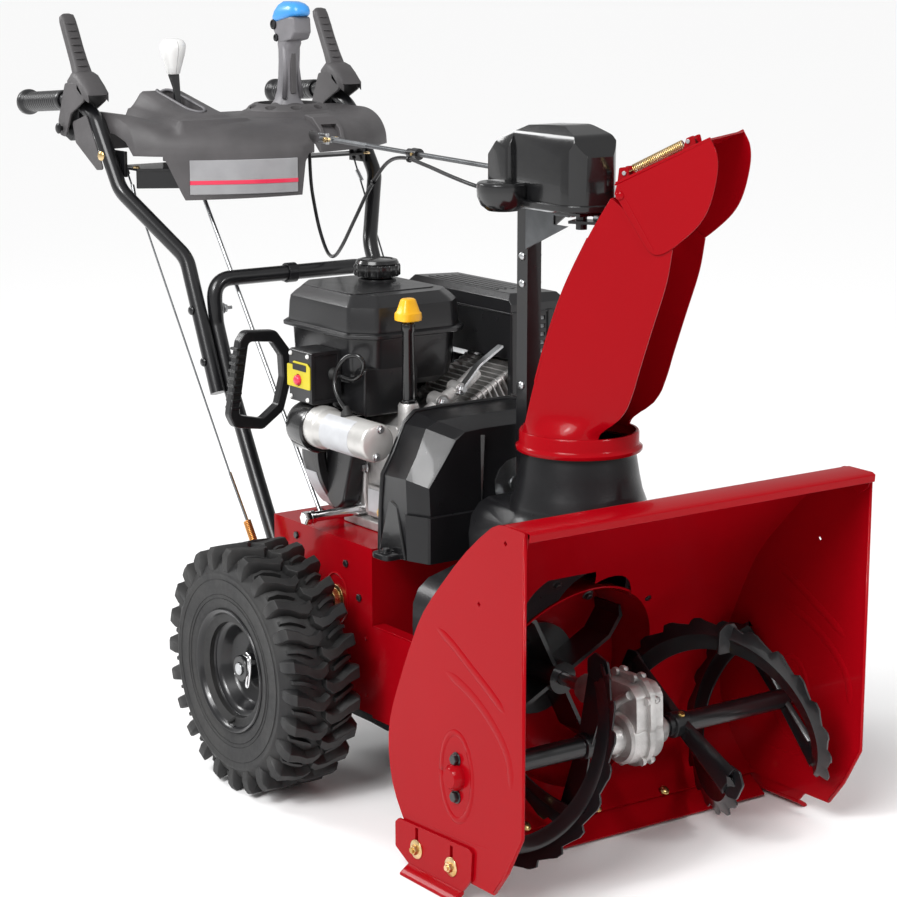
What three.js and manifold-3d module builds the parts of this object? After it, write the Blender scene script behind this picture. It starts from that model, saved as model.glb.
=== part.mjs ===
// Two-stage snowblower with a 24 inch (610 mm) clearing width, in millimetres.
// +Z is up, the auger mouth faces -Y, the operator stands at +Y, and the machine's right side is -X.
// Shapes are written with Y counted from the housing's front lip; the group then moves them so that
// the origin is at the middle of the machine's base.
import * as THREE from 'three';
import { mergeVertices } from 'three/addons/utils/BufferGeometryUtils.js';
import Module from 'manifold-3d';

const wasm = await Module();
wasm.setup();

// ---------------------------------------------------------------- driving dimensions
const LENGTH = 1524;              // front lip to grip ends
const GAP = 0.4;                  // clearance between touching pieces
const SHEET = 3;                  // thickness of the painted steel sheet

const CLEARING_WIDTH = 610;       // inside the auger housing
const HOUSING_X = CLEARING_WIDTH / 2;
const AUGER_Y = 158;
const AUGER_Z = 172;
const AUGER_R = 145;
const IMPELLER_Z = 214;           // impeller and worm shaft height
const IMPELLER_R = 146;
const DRUM_R = 152;               // inside of the impeller drum
const DRUM_REAR_Y = 396;

const TYRE_R = 190.5;             // 15 x 5-6 tyre
const TYRE_WIDTH = 124;
const WHEEL_Y = 702;
const WHEEL_Z = TYRE_R;
const WHEEL_X = 347 - TYRE_WIDTH / 2;

const FRAME_X = 170;              // half width of the traction frame
const FRAME_FRONT_Y = 570;
const FRAME_REAR_Y = 850;
const FRAME_TOP_Z = 383;
const FRAME_BOTTOM_Z = 122;
const LEDGE_Z = 262;              // top of the frame's narrow front part

const CHUTE_Y = 288;              // the chute turns about a vertical axis here
const CHUTE_YAW = 30;             // degrees, where the chute points at rest
const CHUTE_HALF = 70;            // half width of the chute's channel
const NECK_R = 80;
const HINGE_U = 70;               // deflector hinge, forward of the chute axis
const HINGE_Z = 948;

const TUBE_R = 12.7;              // handlebar tubes
const GRIP_X = 250;
const LEG_X = 153.5;              // lower handle legs
const UPPER_X = LEG_X + 2 * TUBE_R + 0.6;
const PIVOT_Y = 1348;             // control lever pivots
const PIVOT_Z = 964;

const CRANK_Z = 487;              // engine crankshaft height
const DISC_Z = 285;               // friction disc and hex shaft height
const HEX_Y = 668;

// ---------------------------------------------------------------- materials
function finish(color, roughness, metalness) {
  return new THREE.MeshStandardMaterial({ color, roughness, metalness });
}
const RED = finish(0xb0121a, 0.3, 0.2);
const BLACK_PAINT = finish(0x17181a, 0.4, 0.3);
const BLACK_PLASTIC = finish(0x1e1f21, 0.5, 0);
const GREY_PLASTIC = finish(0x55565a, 0.6, 0);
const LIGHT_PLASTIC = finish(0xe2e4e2, 0.4, 0);
const BLUE_PLASTIC = finish(0x2e86d8, 0.4, 0);
const YELLOW_PLASTIC = finish(0xf2b414, 0.4, 0);
const RED_PLASTIC = finish(0xd8344c, 0.4, 0);
const RUBBER = finish(0x1b1b1c, 0.9, 0);
const CAST_ALUMINIUM = finish(0xb9babb, 0.45, 0.8);
const STEEL = finish(0xa8aaad, 0.35, 0.9);
const GOLD_ZINC = finish(0xc9a24a, 0.35, 0.9);
const BRONZE = finish(0xb08040, 0.4, 0.9);

// ---------------------------------------------------------------- geometry helpers
// Turns a closed geometry into a manifold solid.
function solid(geometry) {
  const bare = geometry.clone();
  bare.deleteAttribute('normal');
  bare.deleteAttribute('uv');
  const merged = mergeVertices(bare, 1e-4);
  const index = merged.index.array;
  const kept = [];
  for (let i = 0; i < index.length; i += 3) {
    const [a, b, c] = [index[i], index[i + 1], index[i + 2]];
    if (a !== b && b !== c && c !== a) kept.push(a, b, c);
  }
  return new wasm.Manifold(new wasm.Mesh({
    numProp: 3,
    vertProperties: new Float32Array(merged.attributes.position.array),
    triVerts: new Uint32Array(kept),
  }));
}

function geometryOf(manifold) {
  const mesh = manifold.getMesh();
  const geometry = new THREE.BufferGeometry();
  geometry.setAttribute('position', new THREE.BufferAttribute(new Float32Array(mesh.vertProperties), 3));
  geometry.setIndex(new THREE.BufferAttribute(new Uint32Array(mesh.triVerts), 1));
  return geometry;
}

function join(first, ...others) {
  return geometryOf(others.reduce((sum, next) => sum.add(solid(next)), solid(first)));
}

function cut(first, ...others) {
  return geometryOf(others.reduce((rest, next) => rest.subtract(solid(next)), solid(first)));
}

function common(first, second) {
  return geometryOf(solid(first).intersect(solid(second)));
}

function moved(geometry, x, y, z) {
  return geometry.clone().translate(x, y, z);
}

// The mirror image in the X = 0 plane.
function mirrored(geometry) {
  const copy = geometry.index ? geometry.toNonIndexed() : geometry.clone();
  const position = copy.attributes.position;
  const corner = new THREE.Vector3();
  const flipped = [];
  for (let i = 0; i < position.count; i += 3) {
    for (const k of [0, 2, 1]) {
      corner.fromBufferAttribute(position, i + k);
      flipped.push(-corner.x, corner.y, corner.z);
    }
  }
  const result = new THREE.BufferGeometry();
  result.setAttribute('position', new THREE.Float32BufferAttribute(flipped, 3));
  return result;
}

function box([x0, x1], [y0, y1], [z0, z1]) {
  const geometry = new THREE.BoxGeometry(x1 - x0, y1 - y0, z1 - z0);
  return geometry.translate((x0 + x1) / 2, (y0 + y1) / 2, (z0 + z1) / 2);
}

// An outline extruded along one axis, from one coordinate to another. The outline is in (y, z) for
// axis x, in (x, z) for axis y, and in (x, y) for axis z.
function slab(axis, outline, from, to) {
  const shape = new THREE.Shape(outline.map(([a, b]) => new THREE.Vector2(a, b)));
  const geometry = new THREE.ExtrudeGeometry(shape, { depth: to - from, bevelEnabled: false });
  if (axis === 'x') {
    geometry.applyMatrix4(new THREE.Matrix4().set(0, 0, 1, from, 1, 0, 0, 0, 0, 1, 0, 0, 0, 0, 0, 1));
  } else if (axis === 'y') {
    geometry.applyMatrix4(new THREE.Matrix4().set(1, 0, 0, 0, 0, 0, -1, to, 0, 1, 0, 0, 0, 0, 0, 1));
  } else {
    geometry.translate(0, 0, from);
  }
  return geometry;
}

// A closed outline of [radius, distance] pairs turned about an axis through a point.
function turned(profile, axis, [x, y, z], segments) {
  const points = profile.map(([radius, along]) => new THREE.Vector2(radius, along));
  points.push(points[0].clone());
  const geometry = new THREE.LatheGeometry(points, segments);
  if (axis === 'x') geometry.rotateZ(-Math.PI / 2);
  if (axis === 'z') geometry.rotateX(Math.PI / 2);
  return outward(geometry).translate(x, y, z);
}

// Turns a closed mesh's faces outward if they point inward.
function outward(geometry) {
  const soup = geometry.index ? geometry.toNonIndexed() : geometry;
  const position = soup.attributes.position;
  const [a, b, c] = [new THREE.Vector3(), new THREE.Vector3(), new THREE.Vector3()];
  let volume = 0;
  for (let i = 0; i < position.count; i += 3) {
    a.fromBufferAttribute(position, i);
    b.fromBufferAttribute(position, i + 1);
    c.fromBufferAttribute(position, i + 2);
    volume += a.dot(b.cross(c));
  }
  if (volume > 0) return soup;
  const flipped = [];
  for (let i = 0; i < position.count; i += 3) {
    for (const k of [0, 2, 1]) {
      a.fromBufferAttribute(position, i + k);
      flipped.push(a.x, a.y, a.z);
    }
  }
  const result = new THREE.BufferGeometry();
  result.setAttribute('position', new THREE.Float32BufferAttribute(flipped, 3));
  return result;
}

// A straight round bar between two points.
function rod(from, to, radius, sides = 12) {
  const start = new THREE.Vector3(...from);
  const end = new THREE.Vector3(...to);
  const along = end.clone().sub(start);
  const geometry = new THREE.CylinderGeometry(radius, radius, along.length(), sides);
  const up = new THREE.Vector3(0, 1, 0);
  geometry.applyQuaternion(new THREE.Quaternion().setFromUnitVectors(up, along.clone().normalize()));
  return geometry.translate(...start.add(end).multiplyScalar(0.5).toArray());
}

// A route through given points: a sweep along it has one section at each of them.
class Route extends THREE.Curve {
  constructor(points) {
    super();
    this.points = points.map((p) => new THREE.Vector3(...p));
  }

  getPoint(t) {
    const last = this.points.length - 1;
    const place = Math.min(Math.max(t, 0), 1) * last;
    const index = Math.min(Math.floor(place), last - 1);
    return this.points[index].clone().lerp(this.points[index + 1], place - index);
  }

  getPointAt(t) {
    return this.getPoint(t);
  }

  getTangentAt(t) {
    const step = 0.5 / (this.points.length - 1);
    return this.getPoint(t + step).sub(this.getPoint(t - step)).normalize();
  }
}

// Rounds the corners of a polyline with arcs of a few points each.
function rounded(points, radius, steps = 2) {
  const corners = points.map((p) => new THREE.Vector3(...p));
  const result = [points[0]];
  for (let i = 1; i < corners.length - 1; i += 1) {
    const before = corners[i - 1].clone().sub(corners[i]);
    const after = corners[i + 1].clone().sub(corners[i]);
    const half = before.angleTo(after) / 2;
    const reach = Math.min(radius / Math.tan(half), before.length() * 0.48, after.length() * 0.48);
    const start = corners[i].clone().add(before.setLength(reach));
    const end = corners[i].clone().add(after.setLength(reach));
    const arc = new THREE.QuadraticBezierCurve3(start, corners[i], end);
    result.push(...arc.getPoints(steps).map((p) => p.toArray()));
  }
  result.push(points[points.length - 1]);
  return result;
}

// A round bar that follows a list of points.
function tube(points, radius, sides = 12) {
  const shape = new THREE.Shape();
  for (let i = 0; i < sides; i += 1) {
    const angle = (2 * Math.PI * i) / sides;
    const [x, y] = [radius * Math.cos(angle), radius * Math.sin(angle)];
    if (i === 0) shape.moveTo(x, y);
    else shape.lineTo(x, y);
  }
  const options = { steps: points.length - 1, extrudePath: new Route(points), bevelEnabled: false };
  return outward(new THREE.ExtrudeGeometry(shape, options));
}

// A path in the plane, moved sideways to its left by a distance.
function offset(path, distance) {
  return path.map(([a, b], i) => {
    const [a0, b0] = path[Math.max(i - 1, 0)];
    const [a1, b1] = path[Math.min(i + 1, path.length - 1)];
    const length = Math.hypot(a1 - a0, b1 - b0);
    return [a - ((b1 - b0) / length) * distance, b + ((a1 - a0) / length) * distance];
  });
}

// The outline of a bent sheet whose one face follows a path.
function sheet(path, thickness) {
  return [...path, ...offset(path, thickness).reverse()];
}

function arc([a, b], radius, fromDegrees, toDegrees, steps) {
  const points = [];
  for (let i = 0; i <= steps; i += 1) {
    const angle = THREE.MathUtils.degToRad(fromDegrees + ((toDegrees - fromDegrees) * i) / steps);
    points.push([a + radius * Math.cos(angle), b + radius * Math.sin(angle)]);
  }
  return points;
}

// ---------------------------------------------------------------- assembly
const machine = new THREE.Group();
machine.position.y = -LENGTH / 2;
const chuteGroup = new THREE.Group();
chuteGroup.position.set(0, CHUTE_Y, 0);
chuteGroup.rotation.z = THREE.MathUtils.degToRad(CHUTE_YAW);
machine.add(chuteGroup);

function add(name, geometry, material, group = machine) {
  const mesh = new THREE.Mesh(geometry, material.clone());
  mesh.name = name;
  group.add(mesh);
}

function addPair(name, rightGeometry, material) {
  add(`${name}_right`, rightGeometry, material);
  add(`${name}_left`, mirrored(rightGeometry), material);
}

// ---------------------------------------------------------------- auger housing
// Rear curve of the housing in (y, z), from the top bar round the auger to the scraper.
const HOUSING_CURVE = [
  [54, 542], [79, 535], [137, 490], [190, 437], [236, 385], [264, 337], [296, 269],
  [318, 213], [322, 166], [313, 119], [290, 79], [262, 48], [236, 30],
];

function augerHousing() {
  const sheetPath = offset(HOUSING_CURVE, -1);
  const shell = slab('x', sheet(sheetPath, -SHEET), -HOUSING_X - 1, HOUSING_X + 1);
  const topPath = [[1, 526], [0, 540], [54, 541]];
  const topBar = slab('x', sheet(topPath, -SHEET), -HOUSING_X - 1, HOUSING_X + 1);
  const plateOutline = [[8, 540], ...HOUSING_CURVE, [71, 30], [41, 69], [9, 127]];
  const plate = slab('x', plateOutline, HOUSING_X, HOUSING_X + SHEET);
  const outerVolume = slab('x', [[0, 560], ...offset(HOUSING_CURVE, -1.5), [0, 0]], -HOUSING_X, HOUSING_X);
  const drumProfile = [[DRUM_R, 240], [DRUM_R + SHEET, 240], [DRUM_R + SHEET, DRUM_REAR_Y],
    [16, DRUM_REAR_Y], [16, DRUM_REAR_Y - SHEET], [DRUM_R, DRUM_REAR_Y - SHEET]];
  const drum = cut(turned(drumProfile, 'y', [0, 0, IMPELLER_Z], 24), outerVolume);
  const mouth = rod([0, 200, IMPELLER_Z], [0, 385, IMPELLER_Z], DRUM_R - 0.5, 24);
  const lobe = rod([-66, 262, 300], [-66, 262, 402], 62, 16);
  const neckHole = rod([0, CHUTE_Y, 330], [0, CHUTE_Y, 500], 70, 16);
  const behindSheet = slab('x', [...offset(HOUSING_CURVE, -6), [500, 0], [500, 600]], -HOUSING_X, HOUSING_X);
  const shaftHole = rod([-320, AUGER_Y, AUGER_Z], [320, AUGER_Y, AUGER_Z], 14, 16);
  return cut(
    join(shell, topBar, plate, mirrored(plate), drum),
    mouth, lobe, common(neckHole, behindSheet), shaftHole,
  );
}
add('auger_housing', augerHousing(), RED);

function scraperBar() {
  const path = [[258, 44.2], [236, 28.3], [204, 7]];
  return slab('x', sheet(offset(path, 1.4), 4), -HOUSING_X + 3, HOUSING_X - 3);
}
add('scraper_bar', scraperBar(), RED);

function skid() {
  const x = -HOUSING_X - SHEET - GAP;
  const side = slab('x', [[116, 76], [124, 80], [292, 73], [300, 66], [300, 30], [268, 14], [139, 14], [119, 36]],
    x - 4, x);
  const foot = slab('y', [[x, 14], [x - 4, 14], [x - 19, 5], [x - 19, 0], [x - 15, 0], [x, 9]], 139, 268);
  return join(side, foot);
}
addPair('skid', skid(), RED);

// ---------------------------------------------------------------- augers and gearcase
// A flat ring sector with a toothed rim, sheared along X so that it becomes a helical ribbon.
function ribbon(startDegrees, sweepDegrees, startX, endX) {
  const steps = 16;
  const outer = [];
  const inner = [];
  for (let i = 0; i <= steps; i += 1) {
    const angle = THREE.MathUtils.degToRad(startDegrees + (sweepDegrees * i) / steps);
    const tooth = i % 2 === 0 ? AUGER_R : AUGER_R - 9;
    outer.push([tooth * Math.cos(angle), tooth * Math.sin(angle)]);
    inner.push([(AUGER_R - 46) * Math.cos(angle), (AUGER_R - 46) * Math.sin(angle)]);
  }
  const outline = [...outer, ...inner.reverse()];
  const flat = outward(slab('x', sweepDegrees > 0 ? outline : outline.reverse(), 0, 4));
  const position = flat.attributes.position;
  for (let i = 0; i < position.count; i += 1) {
    const angle = THREE.MathUtils.radToDeg(Math.atan2(position.getZ(i), position.getY(i)));
    const turns = THREE.MathUtils.euclideanModulo((angle - startDegrees) * Math.sign(sweepDegrees) + 5, 360) - 5;
    position.setX(i, position.getX(i) + startX + ((endX - startX) * turns) / Math.abs(sweepDegrees));
  }
  return flat.translate(0, AUGER_Y, AUGER_Z);
}

// A flat bar from the auger's tube out to its ribbon.
function arm(degrees, x, width, reach) {
  const bar = box([x - 3, x + 5], [-width / 2, width / 2], [8, reach]);
  bar.rotateX(THREE.MathUtils.degToRad(degrees - 90));
  return bar.translate(0, AUGER_Y, AUGER_Z);
}

function auger(ribbonStarts) {
  const outerX = -HOUSING_X + 12;
  const innerX = -62;
  const parts = [rod([outerX, AUGER_Y, AUGER_Z], [innerX, AUGER_Y, AUGER_Z], 15, 16)];
  for (const start of ribbonStarts) {
    parts.push(ribbon(start, -210, outerX + 4, innerX - 22));
    parts.push(arm(start - 8, outerX + 12, 34, AUGER_R - 30));
    parts.push(arm(start - 204, innerX - 24, 44, AUGER_R - 12));
  }
  const bore = rod([-320, AUGER_Y, AUGER_Z], [0, AUGER_Y, AUGER_Z], 9.8 + GAP, 16);
  return cut(join(...parts), bore);
}
// Each auger has two ribbons half a turn apart; the two augers stand out of step with each other.
add('auger_right', auger([310, 130]), BLACK_PAINT);
add('auger_left', mirrored(auger([232, 52])), BLACK_PAINT);

// A gear blank with square teeth, turned about X.
function gear(x0, x1, y, z, radius, teeth, depth, boreRadius) {
  const outline = [];
  for (let i = 0; i < teeth * 4; i += 1) {
    const angle = (2 * Math.PI * i) / (teeth * 4);
    const r = i % 4 < 2 ? radius : radius - depth;
    outline.push([r * Math.cos(angle), r * Math.sin(angle)]);
  }
  const blank = moved(slab('x', outline, x0, x1), 0, y, z);
  return cut(blank, rod([x0 - 5, y, z], [x1 + 5, y, z], boreRadius, 16));
}

// The auger shaft with the worm wheel keyed to its middle.
function augerShaft() {
  const shaft = rod([-HOUSING_X - 14, AUGER_Y, AUGER_Z], [HOUSING_X + 14, AUGER_Y, AUGER_Z], 9.5, 16);
  return join(shaft, gear(-10, 10, AUGER_Y, AUGER_Z, 28, 14, 4, 5));
}
add('auger_shaft', augerShaft(), BRONZE);

function gearcase() {
  const lower = turned([[0, -30], [38, -30], [38, -5], [44, -5], [44, 5], [38, 5], [38, 30], [0, 30]], 'x',
    [0, AUGER_Y, AUGER_Z], 16);
  const upper = slab('x', [[120, 196], [124, 244], [138, 252], [196, 252], [222, 236], [222, 192], [196, 150]],
    -24, 24);
  const seam = slab('x', [[113, 196], [117, 248], [136, 259], [200, 259], [229, 240], [229, 188], [203, 150]],
    -5, 5);
  const boss = rod([-52, AUGER_Y, AUGER_Z], [52, AUGER_Y, AUGER_Z], 21, 12);
  const nose = rod([0, 215, IMPELLER_Z], [0, 268, IMPELLER_Z], 22, 12);
  const rib = box([-33, 33], [AUGER_Y - 5, AUGER_Y + 5], [136, 208]);
  const wheelRoom = rod([-14, AUGER_Y, AUGER_Z], [14, AUGER_Y, AUGER_Z], 32, 16);
  const wormRoom = rod([0, 130, IMPELLER_Z], [0, 212, IMPELLER_Z], 17, 12);
  const shaftRoom = rod([0, 205, IMPELLER_Z], [0, 280, IMPELLER_Z], 9.5 + GAP, 16);
  const axleRoom = rod([-60, AUGER_Y, AUGER_Z], [60, AUGER_Y, AUGER_Z], 9.5 + GAP, 16);
  return cut(join(lower, upper, seam, boss, nose, rib), wheelRoom, wormRoom, shaftRoom, axleRoom);
}
add('gearcase', gearcase(), CAST_ALUMINIUM);

// ---------------------------------------------------------------- impeller
// The worm, the shaft and the pulley behind the drum turn as one.
function impellerShaft() {
  const worm = [[0, 134], [8, 134], [8, 142], [12.5, 142]];
  for (let i = 0; i < 3; i += 1) {
    worm.push([12.5, 147 + i * 14], [9.5, 150 + i * 14], [9.5, 153 + i * 14], [12.5, 156 + i * 14]);
  }
  worm.push([12.5, 192], [9.5, 192], [9.5, 436], [84, 436], [84, 438], [73, 442], [73, 446], [84, 450], [84, 452],
    [9.5, 452], [9.5, 470], [0, 470]);
  return turned(worm, 'y', [0, 0, IMPELLER_Z], 12);
}
add('impeller_shaft', impellerShaft(), STEEL);

function impeller() {
  const [front, rear] = [326, 386];
  const parts = [
    turned([[9.8 + GAP, front - 6], [24, front - 6], [24, rear], [9.8 + GAP, rear]], 'y', [0, 0, IMPELLER_Z], 20),
    turned([[20, rear - 4], [70, rear - 4], [70, rear], [20, rear]], 'y', [0, 0, IMPELLER_Z], 28),
  ];
  const blade = [[20, -3], [104, -3], [138, 14], [142, 32], [138, 33], [133, 19], [102, 3], [20, 3]];
  for (let i = 0; i < 4; i += 1) {
    const piece = slab('y', blade, front, rear - 2);
    piece.rotateY(-Math.PI * (0.15 + i / 2));
    parts.push(piece.translate(0, 0, IMPELLER_Z));
  }
  return join(...parts);
}
add('impeller', impeller(), BLACK_PAINT);

// ---------------------------------------------------------------- discharge base
// The black shroud over the drum, which narrows upwards into the neck that carries the chute.
function chuteBase() {
  const arch = [[-212, 262], [-206, 322], ...arc([-98, 362], 104, 165, 100, 5), [-70, 482], [70, 482],
    ...arc([98, 362], 104, 80, 15, 5), [206, 322], [212, 262]];
  const shroud = slab('y', arch, 190, DRUM_REAR_Y);
  const neck = turned([[0, 470], [104, 470], [96, 486], [88, 520], [84, 556], [NECK_R, 566], [NECK_R, 578], [0, 578]], 'z',
    [0, CHUTE_Y, 0], 24);
  const behind = [[54, 560], ...offset(HOUSING_CURVE, GAP)];
  const housingVolume = slab('x', [...behind, [0, 0], [0, 620]], -340, 340);
  const frontTrim = box([-150, 150], [0, 196], [400, 620]);
  const drumRoom = rod([0, 150, IMPELLER_Z], [0, DRUM_REAR_Y + 20, IMPELLER_Z], DRUM_R + SHEET + GAP, 24);
  const passage = rod([0, CHUTE_Y, 280], [0, CHUTE_Y, 600], 70, 24);
  const lobe = rod([-66, 268, 300], [-66, 268, 402], 60, 16);
  const wheelSide = box([-300, 300], [0, 400], [200, 264]);
  return cut(join(shroud, neck), housingVolume, frontTrim, drumRoom, passage, lobe, wheelSide);
}
add('chute_base', chuteBase(), BLACK_PLASTIC);

// ---------------------------------------------------------------- chute, in its own turned frame
// Outlines are in (u, z), with u forward along the throw; the chute's own -Y is forward.
function forward(outline) {
  return outline.map(([u, z]) => [-u, z]);
}
const CHUTE_BACK = [[-60, 590], [-43, 662], [-24, 732], [1, 804], [33, 871], [52, 905], [70, 934]];
const CHUTE_FRONT = [[160, 868], [152, 820], [133, 757], [116, 700], [108, 671], [98, 642], [71, 605], [54, 590]];

function chute() {
  const side = slab('x', forward([...CHUTE_BACK, ...CHUTE_FRONT]), -CHUTE_HALF, -CHUTE_HALF + 2.5);
  const back = slab('x', forward(sheet(CHUTE_BACK, -2.5)), -CHUTE_HALF + 1, CHUTE_HALF - 1);
  const ring = turned([[81.5, 567], [89, 567], [89, 573], [86, 576], [86, 594], [81.5, 594]], 'z', [0, 0, 0], 24);
  const skirt = turned([[81.5, 590], [84.5, 590], [84.5, 668], [81.5, 668]], 'z', [0, 0, 0], 24);
  const rear = slab('x', forward([[-100, 580], [-100, 665], [-42, 665], [52, 594], [52, 580]]), -120, 120);
  const lug = slab('x', forward([[56, 938], [60, 972], [74, 972], [72, 938], [70, 934], [52, 905]]), -3, 3);
  return join(side, mirrored(side), back, ring, common(skirt, rear), lug);
}
add('chute', chute(), RED, chuteGroup);

function deflector() {
  const outline = [[73, 940], [79, 953], [212, 1020], [222, 1000], [222, 973], [213, 932], [198, 904], [171, 878],
    [142, 859], [128, 863], [107, 896]];
  const x = -CHUTE_HALF - GAP;
  const side = slab('x', forward(outline), x - 2, x);
  const top = slab('x', forward([[76, 951], [212, 1018], [211, 1020.5], [75, 953.5]]), x - 1, -x + 1);
  const lip = slab('x', forward([[212, 1020], [222, 1000], [219.5, 999], [209.5, 1018]]), x - 1, -x + 1);
  const ear = slab('x', forward([[150, 988], [158, 1014], [168, 1018], [172, 999]]), -3, 3);
  return join(side, mirrored(side), top, lip, ear);
}
add('chute_deflector', deflector(), RED, chuteGroup);

// The return spring lies above the deflector, from the chute's lug to the deflector's ear.
const SPRING_START = [11, -71, 968];
const SPRING_END = [11, -152, 1008];
add('deflector_spring', rod(SPRING_START, SPRING_END, 7, 12), GOLD_ZINC, chuteGroup);

function chuteSpindle() {
  const bracket = slab('x', forward([[-14, 889], [36, 889], [40, 893], [-14, 893]]), -16, 16);
  const cheek = slab('x', forward([[20, 889], [30, 870.4], [40, 889]]), -4, 4);
  const spindle = rod([0, 0, 880], [0, 0, 935], 8, 14);
  const wheel = turned([[0, 922], [30, 922], [36, 930], [30, 938], [0, 938]], 'z', [0, 0, 0], 20);
  const chuteRoom = slab('x', forward(sheet(offset(CHUTE_BACK, GAP), -20)), -60, 60);
  return cut(join(bracket, cheek, spindle, wheel), chuteRoom);
}
add('chute_spindle', chuteSpindle(), BLACK_PAINT, chuteGroup);

// ---------------------------------------------------------------- chute post and gear head
function post() {
  const outer = box([-12.5, 12.5], [DRUM_REAR_Y + GAP, DRUM_REAR_Y + GAP + 25], [360, 900]);
  const inner = box([-10.5, 10.5], [DRUM_REAR_Y + GAP + 2, DRUM_REAR_Y + GAP + 23], [350, 910]);
  return cut(outer, inner);
}
function headBracket() {
  const plate = cut(box([-24, 24], [262, 440], [901, 905]), rod([0, CHUTE_Y, 890], [0, CHUTE_Y, 910], 9, 16));
  const gusset = slab('x', [[300, 902], [394, 842], [400, 842], [400, 902]], -15, -12);
  return join(plate, gusset);
}
add('chute_post', join(post(), headBracket()), BLACK_PAINT);

function gearHead() {
  const plan = [...arc([0, CHUTE_Y], 47, 190, 350, 8), [46, 400], [36, 462], [20, 474], [-20, 474], [-36, 462],
    [-46, 400]];
  const body = slab('z', plan, 908, 1026);
  const side = slab('x', [[236, 908], [236, 935], [246, 985], [262, 1014], [300, 1026], [372, 1022], [430, 1000],
    [476, 958], [476, 908]], -60, 60);
  const across = slab('y', [[-50, 900], [-50, 975], [-30, 1010], [-8, 1024], [8, 1024], [30, 1010], [50, 975],
    [50, 900]], 200, 500);
  const outer = common(common(body, side), across);
  const roomPlan = [...arc([0, CHUTE_Y], 43, 190, 350, 8), [42, 398], [32, 456], [-32, 456], [-42, 398]];
  const room = slab('z', roomPlan, 900, 962);
  const rodHole = rod([0, 440, 950], [0, 500, 950], 8, 12);
  const arm = turned([[0, 900], [22, 900], [33, 908], [38, 922], [37, 938], [0, 941]], 'z', [-56, 398, 0], 20);
  return join(cut(outer, room, rodHole), cut(arm, room));
}
add('gear_head_cover', gearHead(), BLACK_PLASTIC);

// ---------------------------------------------------------------- traction frame
function tractionFrame() {
  const [f, r] = [FRAME_FRONT_Y, FRAME_REAR_Y];
  const outer = box([-FRAME_X, FRAME_X], [f, r], [FRAME_BOTTOM_Z, FRAME_TOP_Z]);
  const inner = box([-FRAME_X + SHEET, FRAME_X - SHEET], [f + SHEET, r + 10], [0, FRAME_TOP_Z - SHEET]);
  const nose = slab('x', [[f + 1, LEDGE_Z], [330, LEDGE_Z], [330, 118], [f + 1, 118]], -FRAME_X, FRAME_X);
  const noseRoom = box([-FRAME_X + SHEET, FRAME_X - SHEET], [300, f + 0.5], [0, 400]);
  const ledge = box([-FRAME_X, -FRAME_X + 24], [402, f + 1], [LEDGE_Z - SHEET, LEDGE_Z]);
  const housingRoom = slab('x', [...offset(HOUSING_CURVE, GAP), [0, 0], [0, 600]], -340, 340);
  const axle = rod([-200, WHEEL_Y, WHEEL_Z], [200, WHEEL_Y, WHEEL_Z], 13, 16);
  const hex = rod([-200, HEX_Y, DISC_Z], [200, HEX_Y, DISC_Z], 9.5, 16);
  const discShaft = rod([0, f - 20, DISC_Z], [0, f + 20, DISC_Z], 12, 16);
  const rodSlot = box([-112, -88], [800, 835], [FRAME_TOP_Z - 10, FRAME_TOP_Z + 10]);
  return cut(
    join(cut(outer, inner), cut(nose, noseRoom), ledge, mirrored(ledge)),
    housingRoom, axle, hex, discShaft, rodSlot,
  );
}
add('traction_frame', tractionFrame(), RED);

function bottomCover() {
  const floor = slab('x', [[560, 96], [840, 108], [840, 111], [572, 99], [572, 118], [560, 118]], -150, 150);
  const flange = box([-FRAME_X + SHEET + GAP, FRAME_X - SHEET - GAP], [576, 838], [118, 121]);
  const walls = cut(box([-150, 150], [573, 840], [98, 121]), box([-147, 147], [570, 837], [90, 130]));
  return join(cut(flange, box([-147, 147], [560, 835], [100, 130])), walls, floor);
}
add('bottom_cover', bottomCover(), BLACK_PAINT);

// ---------------------------------------------------------------- wheels
function axle() {
  return join(rod([-322, WHEEL_Y, WHEEL_Z], [322, WHEEL_Y, WHEEL_Z], 9.5, 16),
    gear(100, 112, WHEEL_Y, WHEEL_Z, 77, 20, 6, 5));
}
add('axle', axle(), STEEL);

function rim() {
  const profile = [[9.5 + GAP, -38], [20, -38], [20, -8], [64, -8], [64, -56], [92, -60], [92, -57], [70, -51],
    [70, 51], [92, 57], [92, 60], [64, 56], [64, 0], [20, 0], [20, 60], [9.5 + GAP, 60]];
  return turned(profile, 'x', [-WHEEL_X, WHEEL_Y, WHEEL_Z], 20);
}
addPair('wheel_rim', rim(), BLACK_PAINT);

function tyre() {
  const half = TYRE_WIDTH / 2;
  const profile = [[70.6, -50.4], [92.6, -56.4], [94, -half + 1], [110, -half], [150, -half], [TYRE_R, -half + 14],
    [TYRE_R, half - 14], [150, half], [110, half], [94, half - 1], [92.6, 56.4], [70.6, 50.4]];
  return turned(profile, 'x', [-WHEEL_X, WHEEL_Y, WHEEL_Z], 20);
}
addPair('tyre', tyre(), RUBBER);

// ---------------------------------------------------------------- traction drive inside the frame
function hexShaft() {
  const shaft = rod([-FRAME_X - 6, HEX_Y, DISC_Z], [FRAME_X + 6, HEX_Y, DISC_Z], 8, 6);
  const pinion = gear(100, 112, HEX_Y, DISC_Z, 20, 8, 5, 2);
  return join(shaft, pinion);
}
add('hex_shaft', hexShaft(), STEEL);

function frictionWheel() {
  const hub = [[8 + GAP, -16], [16, -16], [16, -4], [50, -4], [50, -7], [62, -7], [62, 7], [50, 7], [50, 4], [16, 4],
    [16, 16], [8 + GAP, 16]];
  return turned(hub, 'x', [-40, HEX_Y, DISC_Z], 16);
}
add('friction_wheel', frictionWheel(), RUBBER);

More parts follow.
